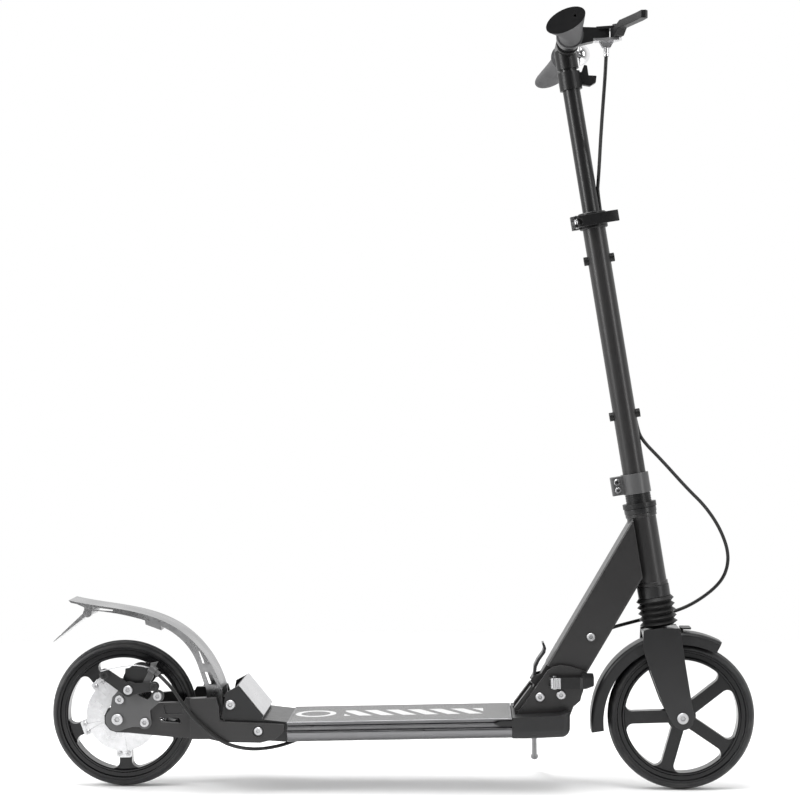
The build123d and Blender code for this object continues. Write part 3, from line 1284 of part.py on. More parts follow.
with BuildPart() as rear_fender:
    add(curved_plate(OUTER_CURVE, SKIN, -REAR_FENDER_HALF, REAR_FENDER_HALF))
    for low in (-REAR_FENDER_HALF, FENDER_RIB_INNER):
        add(curved_plate(OUTER_CURVE, INNER_CURVE, low, low + REAR_FENDER_HALF - FENDER_RIB_INNER))
    windows = [
        [(-276.9, 189), (-269.5, 186), (-261.5, 171), (-271.5, 171.5)],
        [(-268.5, 160.5), (-259.5, 159), (-251, 142), (-262, 142.5)],
        [(-422, 248), (-421, 244), (-394, 242.4), (-394, 244.6)],
    ]
    for window in windows:
        for low in (-REAR_FENDER_HALF - 1, FENDER_RIB_INNER):
            add(slab(window, low, low + 4.5), mode=Mode.SUBTRACT)
    ear = [
        (-266.5, 138), (-262, 112), (-256, 98.5), (-248.4, 95.9), (-242.6, 101.7), (-243.4, 118),
        (-244.5, 138),
    ]
    for low in (-REAR_FENDER_HALF, FENDER_RIB_INNER):
        add(slab(ear, low, low + REAR_FENDER_HALF - FENDER_RIB_INNER))
    barrel_spot = (-429, 240)
    add(rod(barrel_spot[0], barrel_spot[1], -REAR_FENDER_HALF, REAR_FENDER_HALF, 6))
    link = [(-433, 240), (-425, 240), (-424, 250), (-434, 252)]
    add(slab(link, -REAR_FENDER_HALF, REAR_FENDER_HALF))
    flap = [(-432, 234.6), (-476.4, 199.6), (-475.6, 201.2), (-454, 221.6), (-434.4, 240.2)]
    add(slab(flap, -REAR_FENDER_HALF + 1, REAR_FENDER_HALF - 1))
    hinge_bore = rod(FOOT_BRAKE_X, FOOT_BRAKE_Z, -REAR_FENDER_HALF - 1, REAR_FENDER_HALF + 1, 3.05)
    add(hinge_bore, mode=Mode.SUBTRACT)
    add(slab([(-330, 214.6), (-352, 222.6), (-354, 236), (-331.5, 230)], -12, 12))
save(rear_fender, "rear_fender")

with BuildPart() as fender_pin:
    add(rod(FOOT_BRAKE_X, FOOT_BRAKE_Z, -39, 39, 3.0))
    add(rod(FOOT_BRAKE_X, FOOT_BRAKE_Z, -40.5, -37.6, 4.8))
    add(rod(FOOT_BRAKE_X, FOOT_BRAKE_Z, 37.6, 40.5, 4.8))
save(fender_pin, "fender_pin")

# ---------------------------------------------------------------- brake cable, in four stretches
UPPER_ROUTE = [
    (276, -71, 1000.5), (275, -69, 972), (272.5, -57, 930), (270.9, -33, 888), (270.6, -9, 856),
    (269.6, 0, 833), (268, 0, 812), (319.4, 0, 498), (326.4, 0.6, 483.5),
]
LOOP_ROUTE = [
    (326.46, 0.605, 483.38), (331, 1, 474.5), (356.5, 6, 449), (392, 15, 410), (419, 23, 384),
    (440.5, 31, 352),
    (452.5, 37, 318), (448.5, 40, 290), (432.5, 41, 269), (402, 41, 247.5), (372, 38, 236), (330, 29, 227.5),
    (300.3, 22.95, 220.08),
]
LOWER_ROUTE = [
    (300.3, 22.95, 220.08), (276, 18, 214), (256, 19, 195), (239, 20.5, 165), (229, 21, 140), (225, 21, 117),
    (212, 20, 98), (188, 17.5, 90.8), (150, 16, 88.4), (-82.2, 14.2, 80.84),
]
REAR_ROUTE = [
    (-82.2, 14.2, 80.84), (-108, 14, 80), (-128, 8, 70.5), (-150, -14, 62.5), (-174, -38, 59),
    (-200, -58, 59.5),
    (-226, -72.5, 66.5), (-246, -78.5, 78), (-262, -79.5, 91), (-280, -78, 108), (-295, -75, 128),
    (-310, -70, 148), (-325.0, -62.9, 159.5),
]

for cable_name, cable_route in (
    ("brake_cable_upper", UPPER_ROUTE),
    ("brake_cable_loop", LOOP_ROUTE),
    ("brake_cable_lower", LOWER_ROUTE),
    ("brake_cable_rear", REAR_ROUTE),
):
    with BuildPart() as cable:
        add(bent_tube(cable_route, CABLE_RADIUS, cable_name))
    save(cable, cable_name)
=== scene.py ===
import json
import math

import bpy
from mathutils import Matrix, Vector


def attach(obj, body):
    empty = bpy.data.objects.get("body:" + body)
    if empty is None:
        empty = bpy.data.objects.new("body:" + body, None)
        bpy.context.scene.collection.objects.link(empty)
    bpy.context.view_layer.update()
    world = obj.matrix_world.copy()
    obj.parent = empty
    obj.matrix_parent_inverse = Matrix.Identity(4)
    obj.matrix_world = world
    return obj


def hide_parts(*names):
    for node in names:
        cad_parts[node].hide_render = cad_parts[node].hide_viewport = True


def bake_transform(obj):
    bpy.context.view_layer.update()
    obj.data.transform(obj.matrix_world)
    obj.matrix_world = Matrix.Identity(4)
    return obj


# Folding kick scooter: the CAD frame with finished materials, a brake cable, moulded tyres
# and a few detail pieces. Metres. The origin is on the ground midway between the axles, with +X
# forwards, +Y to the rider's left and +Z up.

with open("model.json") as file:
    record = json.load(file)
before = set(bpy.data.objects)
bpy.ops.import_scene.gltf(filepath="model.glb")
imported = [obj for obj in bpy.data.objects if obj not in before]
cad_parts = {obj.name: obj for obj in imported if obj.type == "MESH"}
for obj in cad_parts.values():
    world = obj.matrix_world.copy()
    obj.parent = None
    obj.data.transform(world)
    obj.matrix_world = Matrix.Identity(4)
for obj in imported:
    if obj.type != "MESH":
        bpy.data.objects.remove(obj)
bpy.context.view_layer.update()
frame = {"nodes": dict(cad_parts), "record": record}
nodes = frame["nodes"]

WHEEL_RADIUS = 0.100
HALF_BASE = 0.382
CABLE_RADIUS = 0.0024
WIRE_RADIUS = 0.0008

GREY_PAINT = (0.019, 0.0184, 0.0186)
LIGHT_PAINT = (0.070, 0.070, 0.071)
DARK_PAINT = (0.010, 0.010, 0.0104)
FORK_GLOSS = (0.013, 0.013, 0.0135)
PERCH_BLACK = (0.007, 0.007, 0.0075)
PERCH_METAL = (0.72, 0.72, 0.73)
TAPE_DARK = (0.07, 0.07, 0.07)
TAPE_PALE = (0.27, 0.27, 0.27)
TAPE_MARK = (0.66, 0.66, 0.66)

# pattern on the grip tape
BAR_PITCH = 0.030
BAR_WIDTH = 0.018
BAR_SLANT = 0.55
BARS_FROM = -0.078
BARS_TO = 0.112
BARS_HALF_HEIGHT = 0.024
RING_CENTRE = (-0.118, 0, 0.0997)
RING_RADIUS = 0.024
RING_HALF_WIDTH = 0.004

# bare metal of the lever perch: everything below this height and in front of this place
PERCH_METAL_Z = 1.0129
PERCH_METAL_X = 0.258
PERCH_NOSE_X = 0.2915


# ---------------------------------------------------------------- materials
class Finish:
    """A procedural material on one Principled shader, with its texture nodes in object space."""

    def __init__(self, name, roughness, metallic=0.0, coat=0.0, specular=0.5):
        self.material = bpy.data.materials.new(name)
        self.material.use_nodes = True
        self.tree = self.material.node_tree
        self.shader = self.tree.nodes["Principled BSDF"]
        self.shader.inputs["Roughness"].default_value = roughness
        self.shader.inputs["Metallic"].default_value = metallic
        self.shader.inputs["Coat Weight"].default_value = coat
        self.shader.inputs["Coat Roughness"].default_value = 0.25
        self.shader.inputs["Specular IOR Level"].default_value = specular
        self.coords = self.tree.nodes.new("ShaderNodeTexCoord").outputs["Object"]

    def link(self, out, into):
        self.tree.links.new(out, into)

    def scaled(self, stretch):
        """Object coordinates stretched along each axis."""
        mapping = self.tree.nodes.new("ShaderNodeMapping")
        mapping.inputs["Scale"].default_value = stretch
        self.link(self.coords, mapping.inputs["Vector"])
        return mapping.outputs["Vector"]

    def noise(self, scale, detail=4.0, stretch=(1, 1, 1)):
        texture = self.tree.nodes.new("ShaderNodeTexNoise")
        texture.inputs["Scale"].default_value = scale
        texture.inputs["Detail"].default_value = detail
        self.link(self.scaled(stretch), texture.inputs["Vector"])
        return texture.outputs["Fac"]

    def ranged(self, value, low, high, start=0.0, end=1.0):
        """value, taken from start..end to low..high."""
        node = self.tree.nodes.new("ShaderNodeMapRange")
        node.inputs["From Min"].default_value = start
        node.inputs["From Max"].default_value = end
        node.inputs["To Min"].default_value = low
        node.inputs["To Max"].default_value = high
        self.link(value, node.inputs["Value"])
        return node.outputs["Result"]

    def math(self, operation, a, b):
        node = self.tree.nodes.new("ShaderNodeMath")
        node.operation = operation
        for value, socket in ((a, node.inputs[0]), (b, node.inputs[1])):
            if isinstance(value, (int, float)):
                socket.default_value = value
            else:
                self.link(value, socket)
        return node.outputs["Value"]

    def mix(self, factor, first, second):
        """Colour from first to second by factor; each is a colour or a socket."""
        node = self.tree.nodes.new("ShaderNodeMix")
        node.data_type = "RGBA"
        self.link(factor, node.inputs[0])
        for colour, socket in ((first, node.inputs[6]), (second, node.inputs[7])):
            if isinstance(colour, tuple):
                socket.default_value = (*colour, 1)
            else:
                self.link(colour, socket)
        return node.outputs[2]

    def colour(self, value):
        if isinstance(value, tuple):
            self.shader.inputs["Base Color"].default_value = (*value, 1)
        else:
            self.link(value, self.shader.inputs["Base Color"])

    def roughness(self, value):
        self.link(value, self.shader.inputs["Roughness"])

    def bump(self, height, distance, strength=1.0):
        node = self.tree.nodes.new("ShaderNodeBump")
        node.inputs["Distance"].default_value = distance
        node.inputs["Strength"].default_value = strength
        self.link(height, node.inputs["Height"])
        self.link(node.outputs["Normal"], self.shader.inputs["Normal"])

    def painted_recess_shade(self, distance=0.004, floor=0.12):
        """Painted shade from ambient occlusion: 1 in the open and towards floor inside sockets, slots and
        corners.
        """
        node = self.tree.nodes.new("ShaderNodeAmbientOcclusion")
        node.samples = 6
        node.inputs["Distance"].default_value = distance
        return self.ranged(node.outputs["AO"], floor, 1.0, 0.25, 0.85)

    def shaded(self, colour, shade):
        """A colour socket multiplied by a 0..1 value."""
        node = self.tree.nodes.new("ShaderNodeVectorMath")
        node.operation = "SCALE"
        self.link(colour, node.inputs[0])
        self.link(shade, node.inputs["Scale"])
        return node.outputs["Vector"]

    def edge_wear_and_highlight(self, radius=0.0012):
        """1 on sharp edges, 0 on flat faces, broken up by noise: edges paled partly by wear and partly as
        a painted highlight.
        """
        bevel = self.tree.nodes.new("ShaderNodeBevel")
        bevel.samples = 4
        bevel.inputs["Radius"].default_value = radius
        geometry = self.tree.nodes.new("ShaderNodeNewGeometry")
        dot = self.tree.nodes.new("ShaderNodeVectorMath")
        dot.operation = "DOT_PRODUCT"
        self.link(bevel.outputs["Normal"], dot.inputs[0])
        self.link(geometry.outputs["Normal"], dot.inputs[1])
        edge = self.ranged(dot.outputs["Value"], 1.0, 0.0, 0.80, 0.985)
        return self.math("MULTIPLY", edge, self.ranged(self.noise(260), 0.1, 1.0, 0.3, 0.7))


def paint(name, colour, roughness, wear_and_highlight_colour, flake=0.10):
    """Satin powder coat with a fine orange-peel skin and paler edges, partly wear and partly a painted
    highlight.
    """
    f = Finish(name, roughness, coat=0.12, specular=0.34)
    light = tuple(c * (1 + flake) for c in colour)
    dark = tuple(c * (1 - flake) for c in colour)
    patches = f.mix(f.noise(28, 3), dark, light)
    # edges paled towards the edge colour: partly wear, partly a painted highlight
    f.colour(f.mix(f.math("MULTIPLY", f.edge_wear_and_highlight(), 0.5), patches, wear_and_highlight_colour))
    f.roughness(f.ranged(f.noise(90, 3), roughness - 0.05, roughness + 0.07))
    f.bump(f.noise(1500, 3), 0.00012, 0.5)
    return f.material


def plastic(name, colour, roughness, grain=2200, depth=0.00012):
    """Moulded plastic with a fine spark-eroded grain."""
    f = Finish(name, roughness, specular=0.32)
    light = tuple(c * 1.2 + 0.002 for c in colour)
    f.colour(f.mix(f.noise(35, 3), colour, light))
    f.roughness(f.ranged(f.noise(120, 2), roughness - 0.05, roughness + 0.08))
    f.bump(f.noise(grain, 2), depth, 0.6)
    return f.material


def metal(name, colour, roughness, stretch=(1, 1, 1), grain=700, depth=0.00008):
    """Bare metal with fine marks, drawn out along an axis by stretch, faint smudges, and painted shade
    darkening its sockets and slots.
    """
    f = Finish(name, roughness, metallic=1.0)
    dark = tuple(c * 0.82 for c in colour)
    lines = f.noise(grain, 3, stretch)
    # colour darkened by painted shade wherever ambient occlusion finds a recess
    f.colour(f.shaded(f.mix(f.ranged(lines, 0, 1, 0.3, 0.7), dark, colour), f.painted_recess_shade()))
    smudge = f.ranged(f.noise(22, 4), roughness - 0.06, roughness + 0.12, 0.3, 0.7)
    f.roughness(f.math("ADD", smudge, f.ranged(lines, -0.05, 0.05)))
    f.bump(lines, depth, 0.35)
    return f.material


def tyre_rubber():
    """Solid tyre: matt black with a little dust in patches."""
    f = Finish("tyre_rubber", 0.5, specular=0.35)
    dust = f.ranged(f.noise(60, 5), 0, 0.5, 0.45, 0.75)
    f.colour(f.mix(dust, (0.012, 0.012, 0.013), (0.045, 0.044, 0.042)))
    f.roughness(f.ranged(f.noise(150, 3), 0.38, 0.6))
    f.bump(f.noise(900, 3), 0.00015, 0.6)
    return f.material


def grip_tape():
    """Gritted tape with a paler plain pattern: a ring at the back and slanted bars in front of it."""
    f = Finish("grip_tape_grit", 0.8)
    grit = f.noise(1900, 2)
    base = f.mix(f.ranged(grit, 0, 1, 0.35, 0.65), TAPE_DARK, TAPE_PALE)
    split = f.tree.nodes.new("ShaderNodeSeparateXYZ")
    f.link(f.coords, split.inputs["Vector"])
    x, y = split.outputs["X"], split.outputs["Y"]
    slanted = f.math("ADD", x, f.math("MULTIPLY", y, BAR_SLANT))
    phase = f.math("MODULO", f.math("ADD", slanted, 1.0), BAR_PITCH)
    bars = f.math("LESS_THAN", phase, BAR_WIDTH)
    zone = f.math("MULTIPLY", f.math("GREATER_THAN", x, BARS_FROM), f.math("LESS_THAN", x, BARS_TO))
    inside = f.math("LESS_THAN", f.math("ABSOLUTE", y, 0.0), BARS_HALF_HEIGHT)
    bars = f.math("MULTIPLY", f.math("MULTIPLY", bars, zone), inside)
    away = f.tree.nodes.new("ShaderNodeVectorMath")
    away.operation = "DISTANCE"
    f.link(f.coords, away.inputs[0])
    away.inputs[1].default_value = RING_CENTRE
    from_ring = f.math("ABSOLUTE", f.math("SUBTRACT", away.outputs["Value"], RING_RADIUS), 0.0)
    ring = f.math("LESS_THAN", from_ring, RING_HALF_WIDTH)
    marks = f.math("MAXIMUM", bars, ring)
    broken = f.math("MULTIPLY", marks, f.ranged(grit, 0.35, 1.0, 0.3, 0.6))
    f.colour(f.mix(broken, base, TAPE_MARK))
    f.bump(grit, 0.0004, 0.9)
    return f.material


def grip_rubber():
    """Soft grip rubber with fine raised lines across it."""
    f = Finish("grip_rubber_ribbed", 0.62)
    f.colour(f.mix(f.noise(40, 4), (0.036, 0.036, 0.038), (0.066, 0.066, 0.068)))
    wave = f.tree.nodes.new("ShaderNodeTexWave")
    wave.bands_direction = "Y"
    wave.inputs["Scale"].default_value = 95
    f.link(f.coords, wave.inputs["Vector"])
    height = f.math("ADD", f.ranged(wave.outputs["Fac"], 0, 1), f.ranged(f.noise(1600, 2), 0, 0.35))
    f.bump(height, 0.0005, 0.7)
    return f.material


MATERIALS = {
    "rubber_black": tyre_rubber(),
    "rim_black": plastic("rim_satin", (0.005, 0.005, 0.0055), 0.20, 300, 0.00002),
    "steel_bright": metal("zinc_steel", (0.60, 0.60, 0.61), 0.28),
    "disc_steel": metal("disc_ground", (0.62, 0.62, 0.63), 0.24, (1, 1, 1), 160, 0.00004),
    # the last colour of each paint is its paler edge colour: partly wear, partly a painted highlight
    "paint_grey": paint("satin_grey_paint", GREY_PAINT, 0.36, (0.16, 0.16, 0.16)),
    "paint_light": paint("satin_light_paint", LIGHT_PAINT, 0.36, (0.3, 0.3, 0.3)),
    "paint_dark": paint("satin_dark_paint", DARK_PAINT, 0.34, (0.10, 0.10, 0.10)),
    "alu_bright": metal("brushed_alu", (0.70, 0.70, 0.71), 0.32, (14, 1, 14), 90),
    "deck_silver": metal("deck_alu", (0.20, 0.20, 0.205), 0.30, (0.5, 20, 20), 60),
    "tape_grey": grip_tape(),
    "plastic_black": plastic("black_plastic", (0.006, 0.006, 0.0063), 0.36),
    "plastic_grey": plastic("grey_plastic", (0.012, 0.012, 0.0125), 0.36),
    "rubber_soft": plastic("soft_rubber", (0.006, 0.006, 0.006), 0.45, 900, 0.0002),
    "grip_rubber": grip_rubber(),
    "chrome_part": metal("chrome", (0.86, 0.86, 0.87), 0.10, (1, 1, 1), 50, 0.00001),
    "cable_black": plastic("cable_sheath", (0.010, 0.010, 0.010), 0.36, 1800, 0.00005),
}
FENDER_METAL = metal("fender_alu", (0.36, 0.36, 0.365), 0.26, (3, 40, 3), 60)
# its last colour is the paler edge colour: partly wear, partly a painted highlight
FORK_PAINT = paint("fork_gloss_paint", FORK_GLOSS, 0.22, (0.10, 0.10, 0.10))
DULL_STEEL = metal("dull_steel", (0.24, 0.24, 0.245), 0.36)
BLACK_STEEL = metal("black_steel", (0.055, 0.055, 0.057), 0.30)


def perch_finish():
    """Black lever perch whose underside and cable end are bare metal."""
    f = Finish("perch_two_tone", 0.34)
    split = f.tree.nodes.new("ShaderNodeSeparateXYZ")
    f.link(f.coords, split.inputs["Vector"])
    x, z = split.outputs["X"], split.outputs["Z"]
    low, forward = f.math("LESS_THAN", z, PERCH_METAL_Z), f.math("GREATER_THAN", x, PERCH_METAL_X)
    bare = f.math("MAXIMUM", f.math("MULTIPLY", low, forward), f.math("GREATER_THAN", x, PERCH_NOSE_X))
    f.colour(f.mix(bare, PERCH_BLACK, PERCH_METAL))
    f.link(bare, f.shader.inputs["Metallic"])
    f.roughness(f.ranged(f.noise(200, 3), 0.26, 0.40))
    f.bump(f.noise(1500, 2), 0.00008, 0.5)
    return f.material


slot_of = {s["node"]: s["material_slot"] for s in frame["record"]["subparts"]}
for name, obj in nodes.items():
    obj.data.materials.clear()
    obj.data.materials.append(MATERIALS[slot_of[name]])
SPECIAL = {
    "rear_fender": FENDER_METAL, "latch_pedal": BLACK_STEEL, "kickstand": DULL_STEEL,
    "kickstand_bracket": DULL_STEEL, "bell_base": MATERIALS["alu_bright"],
    "headset": MATERIALS["paint_dark"], "brake_lever_perch": perch_finish(), "fork": FORK_PAINT,
}
for name, finish in SPECIAL.items():
    nodes[name].data.materials[0] = finish


# ---------------------------------------------------------------- edges of the CAD pieces
# greatest width of the rounding on each piece; the clamp makes it less where edges lie close together
SOFT_EDGES = {
    "fork": 0.0050, "neck_beam": 0.0010, "swingarm": 0.0009, "caliper_carrier": 0.0006,
    "caliper_arm": 0.0007, "caliper_body": 0.0020, "rear_bracket": 0.0008, "fold_bracket": 0.0007,
    "front_cap": 0.0012, "deck_extrusion": 0.0005, "brake_lever": 0.0022, "brake_lever_perch": 0.0012,
    "fold_lever": 0.0014, "height_clamp_lever": 0.0014, "height_clamp": 0.0006, "steerer_clamp": 0.0006,
    "bar_tee": 0.0006, "front_rim": 0.0020, "rear_rim": 0.0020, "stem_hook": 0.0012,
    "latch_pedal": 0.0006, "rear_fender": 0.0005, "front_fender": 0.0009, "head_tube": 0.0006,
    "headset": 0.0006, "steerer_tube": 0.0004, "heel_plate": 0.0003, "lower_stem_tube": 0.0004,
    "bell_striker": 0.0008, "grip_end_caps": 0.0012, "stem_bumpers": 0.0020, "kickstand_bracket": 0.0005,
    "brake_disc": 0.0002,
}
WELD_DISTANCE = 0.000005
# an edge is rounded where its faces meet at more than this, in degrees
USUAL_ANGLE = 35
ROUND_PROFILES = {"fork": 30, "caliper_body": 20}


def even_shading(obj):
    """Lets large faces set the shading, so that a bevel doesn't tint them."""
    shade = obj.modifiers.new("shading", "WEIGHTED_NORMAL")
    shade.weight = 60


def soften(obj, width, angle):
    """Joins a CAD piece's faces, rounds its edges sharper than an angle and evens out the shading."""
    weld = obj.modifiers.new("weld", "WELD")
    weld.merge_threshold = WELD_DISTANCE
    bevel = obj.modifiers.new("edges", "BEVEL")
    bevel.width = width
    bevel.segments = 3
    bevel.limit_method = "ANGLE"
    bevel.angle_limit = math.radians(angle)
    bevel.use_clamp_overlap = True
    even_shading(obj)


for name, width in SOFT_EDGES.items():
    for polygon in nodes[name].data.polygons:
        polygon.use_smooth = True
    soften(nodes[name], width, ROUND_PROFILES.get(name, USUAL_ANGLE))


# ---------------------------------------------------------------- pieces that stand for CAD nodes
def new_object(name, points, faces, material):
    mesh = bpy.data.meshes.new(name)
    mesh.from_pydata(points, [], faces)
    mesh.materials.append(material)
    mesh.update()
    obj = bpy.data.objects.new(name, mesh)
    bpy.context.scene.collection.objects.link(obj)
    for polygon in mesh.polygons:
        polygon.use_smooth = True
    return obj


def tyre_outline():
    """The tyre's closed section as (radius, across) pairs: round shoulders and two fine grooves."""
    half = [(0.0908, 0.0130), (0.0912, 0.0142), (0.0920, 0.0149), (0.0930, 0.0150)]
    for step in range(0, 11):
        turn = math.radians(8 + 64 * step / 10)
        half.append((0.0926 + 0.0066 * math.sin(turn), 0.0024 + 0.0126 * math.cos(turn)))
    half += [(0.0990, 0.0060), (0.0985, 0.0056), (0.0985, 0.0052), (0.0993, 0.0048)]
    half += [(0.0998, 0.0030), (0.1000, 0.0010)]
    return half + [(r, -y) for r, y in reversed(half)]


def tyre(name, centre_x, segments=160):
    """Ring swept round the wheel's axis from the tyre's section."""
    outline = tyre_outline()
    points, faces = [], []
    for i in range(segments):
        turn = 2 * math.pi * i / segments
        for radius, across in outline:
            forward, up = radius * math.cos(turn), radius * math.sin(turn)
            points.append((centre_x + forward, across, WHEEL_RADIUS + up))
    n = len(outline)
    for i in range(segments):
        a, b = i * n, ((i + 1) % segments) * n
        for k in range(n):
            m = (k + 1) % n
            faces.append((a + k, a + m, b + m, b + k))
    return new_object(name, points, faces, MATERIALS["rubber_black"])


for end, centre_x in (("front", HALF_BASE), ("rear", -HALF_BASE)):
    ring = tyre(end + "_tyre_moulded", centre_x)
    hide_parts(end + "_tyre")
    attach(ring, end + "_wheel")


def soft_copy(name, node):
    """A copy of a CAD piece with its transform baked in, standing in for the hidden piece."""
    mesh = nodes[node].data.copy()
    copy = bpy.data.objects.new(name, mesh)
    bpy.context.scene.collection.objects.link(copy)
    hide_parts(node)
    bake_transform(copy)
    return copy


soft_copy(
    "fork_bellows_soft", "fork_bellows",
)
soft_copy(
    "suspension_block_soft", "suspension_block",
)


def ribbed_pad(name, low, high, ribs, depth, slant, material):
    """Pad between two corners, with upright ribs on its face towards -Y and a slanted back end."""
    steps = ribs * 8
    outline = []
    for i in range(steps + 1):
        ripple = 0.5 - 0.5 * math.cos(2 * math.pi * ribs * i / steps)
        start = low[0] + slant
        outline.append((start + (high[0] - start) * i / steps, low[1] + depth * (1 - ripple)))
    outline += [(high[0], high[1]), (low[0], high[1])]
    n = len(outline)
    points = [(x, y, z) for z in (low[2], high[2]) for x, y in outline]
    faces = [tuple(reversed(range(n))), tuple(range(n, 2 * n))]
    faces += [(k, (k + 1) % n, (k + 1) % n + n, k + n) for k in range(n)]
    pad = new_object(name, points, faces, material)
    bevel = pad.modifiers.new("edges", "BEVEL")
    bevel.width = 0.0005
    bevel.segments = 2
    bevel.angle_limit = math.radians(50)
    even_shading(pad)
    return pad


# bright ribbed thumb pad on the fold lever
pad = ribbed_pad(
    "fold_lever_pad", (0.2026, -0.0558, 0.1428), (0.2160, -0.0525, 0.1572), 5, 0.0009, 0.0014,
    MATERIALS["steel_bright"],
)
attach(pad, "quick_lever")

# ---------------------------------------------------------------- brake cable
# each route repeats the points of its tube in the part's source
UPPER_ROUTE = (
    (0.276, -0.071, 1.0005), (0.275, -0.069, 0.972), (0.2725, -0.057, 0.930), (0.2709, -0.033, 0.888),
    (0.2706, -0.009, 0.856), (0.2696, 0, 0.833), (0.268, 0, 0.812), (0.3194, 0, 0.498),
    (0.3264, 0.0006, 0.4835),
)
LOOP_ROUTE = (
    (0.32646, 0.0006, 0.48338), (0.331, 0.001, 0.4745), (0.3565, 0.006, 0.449), (0.392, 0.015, 0.410),
    (0.419, 0.023, 0.384), (0.4405, 0.031, 0.352), (0.4525, 0.037, 0.318), (0.4485, 0.040, 0.290),
    (0.4325, 0.041, 0.269), (0.402, 0.041, 0.2475), (0.372, 0.038, 0.236), (0.330, 0.029, 0.2275),
    (0.3003, 0.02295, 0.22008),
)
LOWER_ROUTE = (
    (0.3003, 0.02295, 0.22008), (0.276, 0.018, 0.214), (0.256, 0.019, 0.195), (0.239, 0.0205, 0.165),
    (0.229, 0.021, 0.140), (0.225, 0.021, 0.117), (0.212, 0.020, 0.098), (0.188, 0.0175, 0.0908),
    (0.150, 0.016, 0.0884), (-0.0822, 0.0142, 0.08084),
)
REAR_ROUTE = (
    (-0.0822, 0.0142, 0.08084), (-0.108, 0.014, 0.080), (-0.128, 0.008, 0.0705), (-0.150, -0.014, 0.0625),
    (-0.174, -0.038, 0.059), (-0.200, -0.058, 0.0595), (-0.226, -0.0725, 0.0665), (-0.246, -0.0785, 0.078),
    (-0.262, -0.0795, 0.091), (-0.280, -0.078, 0.108), (-0.295, -0.075, 0.128), (-0.310, -0.070, 0.148),
    (-0.325, -0.0629, 0.1595),
)


def tube_along(name, route, radius, material):
    """Mesh tube on a smooth NURBS line whose control points are the route."""
    curve = bpy.data.curves.new(name + "_line", "CURVE")
    curve.dimensions = "3D"
    curve.resolution_u = 16
    curve.bevel_depth = radius
    curve.bevel_resolution = 5
    curve.use_fill_caps = True
    spline = curve.splines.new("NURBS")
    spline.points.add(len(route) - 1)
    for point, place in zip(spline.points, route):
        point.co = (*place, 1)
    spline.order_u = 3
    spline.use_endpoint_u = True
    holder = bpy.data.objects.new(name + "_line", curve)
    bpy.context.scene.collection.objects.link(holder)
    bpy.context.view_layer.update()
    depsgraph = bpy.context.evaluated_depsgraph_get()
    mesh = bpy.data.meshes.new_from_object(holder.evaluated_get(depsgraph))
    bpy.data.objects.remove(holder)
    tube = bpy.data.objects.new(name, mesh)
    bpy.context.scene.collection.objects.link(tube)
    mesh.materials.clear()
    mesh.materials.append(material)
    for polygon in mesh.polygons:
        polygon.use_smooth = True
    return tube


sheath = MATERIALS["cable_black"]
for name, route, near_body, far_body, start, end in (
    ("cable_upper", UPPER_ROUTE, "handlebar", "column", (0.276, -0.07, 0.995), (0.322, 0, 0.49)),
    ("cable_loop", LOOP_ROUTE, "column", "neck", (0.345, 0, 0.46), (0.310, 0.025, 0.223)),
    ("cable_lower", LOWER_ROUTE, "neck", "deck", (0.256, 0.02, 0.195), (0.200, 0.018, 0.092)),
    ("cable_rear", REAR_ROUTE, "deck", "swingarm", (-0.150, -0.014, 0.0625), (-0.262, -0.0795, 0.091)),
):
    tube = tube_along(name, route, CABLE_RADIUS, sheath)
    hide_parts("brake_" + name)
    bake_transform(tube)

# bare inner wire from the cable stop over the caliper to the end of its arm
wire = tube_along(
    "cable_inner_wire",
    (
        (-0.337, -0.0612, 0.1690), (-0.352, -0.066, 0.1745), (-0.380, -0.0728, 0.1725),
        (-0.403, -0.0728, 0.1660),
    ),
    WIRE_RADIUS, MATERIALS["steel_bright"],
)
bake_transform(wire)


# ---------------------------------------------------------------- room, light and camera
def flat_square(name, size, height, material):
    """A square sheet lying level at a height."""
    mesh = bpy.data.meshes.new(name)
    s = size / 2
    corners = [(-s, -s, height), (s, -s, height), (s, s, height), (-s, s, height)]
    mesh.from_pydata(corners, [], [(0, 1, 2, 3)])
    mesh.materials.append(material)
    square = bpy.data.objects.new(name, mesh)
    bpy.context.scene.collection.objects.link(square)
    return square


FLOOR_SIZE = 4
FLOOR_HEIGHT = -0.0004
FADE_FROM = 0.9
FADE_TO = 1.9


def pale_floor():
    """Nearly white floor that fades out with distance from the origin, so its edge doesn't show."""
    f = Finish("studio_floor", 0.9)
    f.colour(f.mix(f.noise(6, 2), (0.92, 0.92, 0.92), (0.95, 0.95, 0.95)))
    f.bump(f.noise(400, 2), 0.0002, 0.2)
    away = f.tree.nodes.new("ShaderNodeVectorMath")
    away.operation = "LENGTH"
    f.link(f.coords, away.inputs[0])
    clear = f.tree.nodes.new("ShaderNodeBsdfTransparent")
    mixer = f.tree.nodes.new("ShaderNodeMixShader")
    f.link(f.ranged(away.outputs["Value"], 0.0, 1.0, FADE_FROM, FADE_TO), mixer.inputs[0])
    f.link(f.shader.outputs["BSDF"], mixer.inputs[1])
    f.link(clear.outputs["BSDF"], mixer.inputs[2])
    f.link(mixer.outputs["Shader"], f.tree.nodes["Material Output"].inputs["Surface"])
    return f.material


flat_square("floor", FLOOR_SIZE, FLOOR_HEIGHT, pale_floor())

DIM_LIGHT = 0.10
FULL_LIGHT = 1.02
DIM_UNTIL_Y = -0.9
FULL_FROM_Y = 0.35


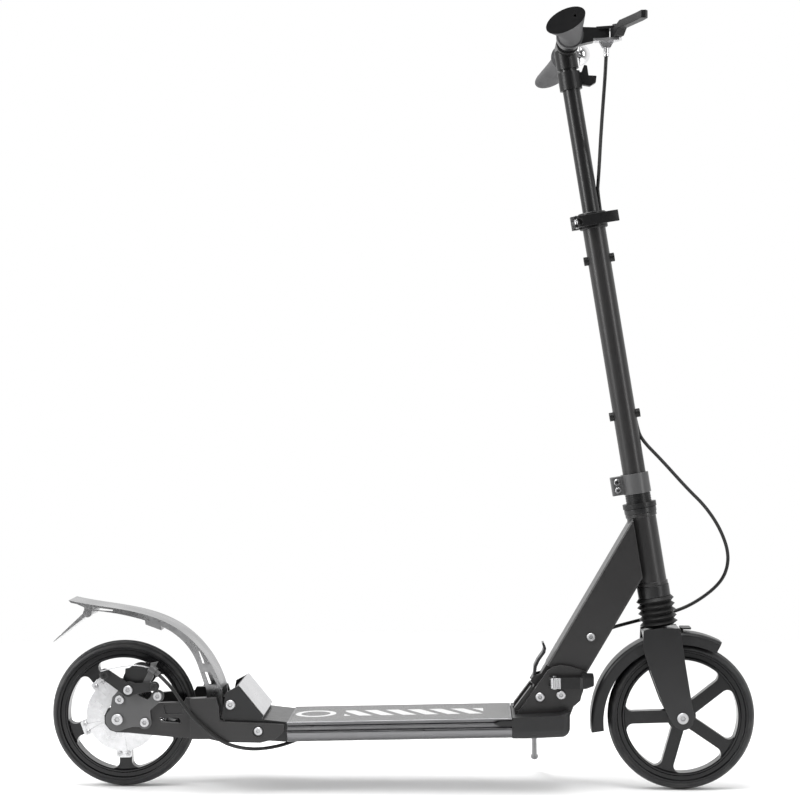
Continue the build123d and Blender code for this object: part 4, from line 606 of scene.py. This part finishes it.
def white_room():
    """White to the camera. As a light it is dim towards -Y, so that dark paint stays dark."""
    world = bpy.data.worlds.new("studio")
    bpy.context.scene.world = world
    world.use_nodes = True
    tree = world.node_tree
    direction = tree.nodes.new("ShaderNodeTexCoord").outputs["Generated"]
    parts = tree.nodes.new("ShaderNodeSeparateXYZ")
    tree.links.new(direction, parts.inputs["Vector"])
    light = tree.nodes.new("ShaderNodeMapRange")
    light.interpolation_type = "SMOOTHSTEP"
    light.inputs["From Min"].default_value = DIM_UNTIL_Y
    light.inputs["From Max"].default_value = FULL_FROM_Y
    light.inputs["To Min"].default_value = DIM_LIGHT
    light.inputs["To Max"].default_value = FULL_LIGHT
    tree.links.new(parts.outputs["Y"], light.inputs["Value"])
    glow = tree.nodes.new("ShaderNodeMix")
    tree.links.new(tree.nodes.new("ShaderNodeLightPath").outputs["Is Camera Ray"], glow.inputs[0])
    tree.links.new(light.outputs["Result"], glow.inputs[2])
    glow.inputs[3].default_value = 1.0
    tree.nodes["Background"].inputs["Color"].default_value = (1, 1, 1, 1)
    tree.links.new(glow.outputs[0], tree.nodes["Background"].inputs["Strength"])


white_room()


def area_light(name, place, target, size, power):
    data = bpy.data.lights.new(name, "AREA")
    data.shape = "RECTANGLE"
    data.size, data.size_y = size
    data.energy = power
    light = bpy.data.objects.new(name, data)
    bpy.context.scene.collection.objects.link(light)
    light.location = place
    light.rotation_euler = (Vector(target) - Vector(place)).to_track_quat("-Z", "Y").to_euler()


# name, place, target, size and watts
for lamp in (
    ("top_light", (-0.3, -0.3, 2.4), (0, 0, 0.3), (3.2, 0.9), 62),
    ("left_light", (-2.4, -1.3, 1.3), (0, 0, 0.4), (0.45, 2.2), 70),
    ("front_light", (2.3, -1.9, 1.2), (0.1, 0, 0.4), (0.35, 1.8), 30),
):
    area_light(*lamp)

camera_data = bpy.data.cameras.new("camera")
camera_data.sensor_width = 36
camera_data.lens = 91.7
camera_data.clip_end = 50
camera = bpy.data.objects.new("camera", camera_data)
bpy.context.scene.collection.objects.link(camera)
camera.location = (0.0955, -2.8, 0.5313)
camera.rotation_euler = (math.radians(90), 0, math.radians(2))
bpy.context.scene.camera = camera
bpy.context.scene.view_settings.view_transform = "Standard"
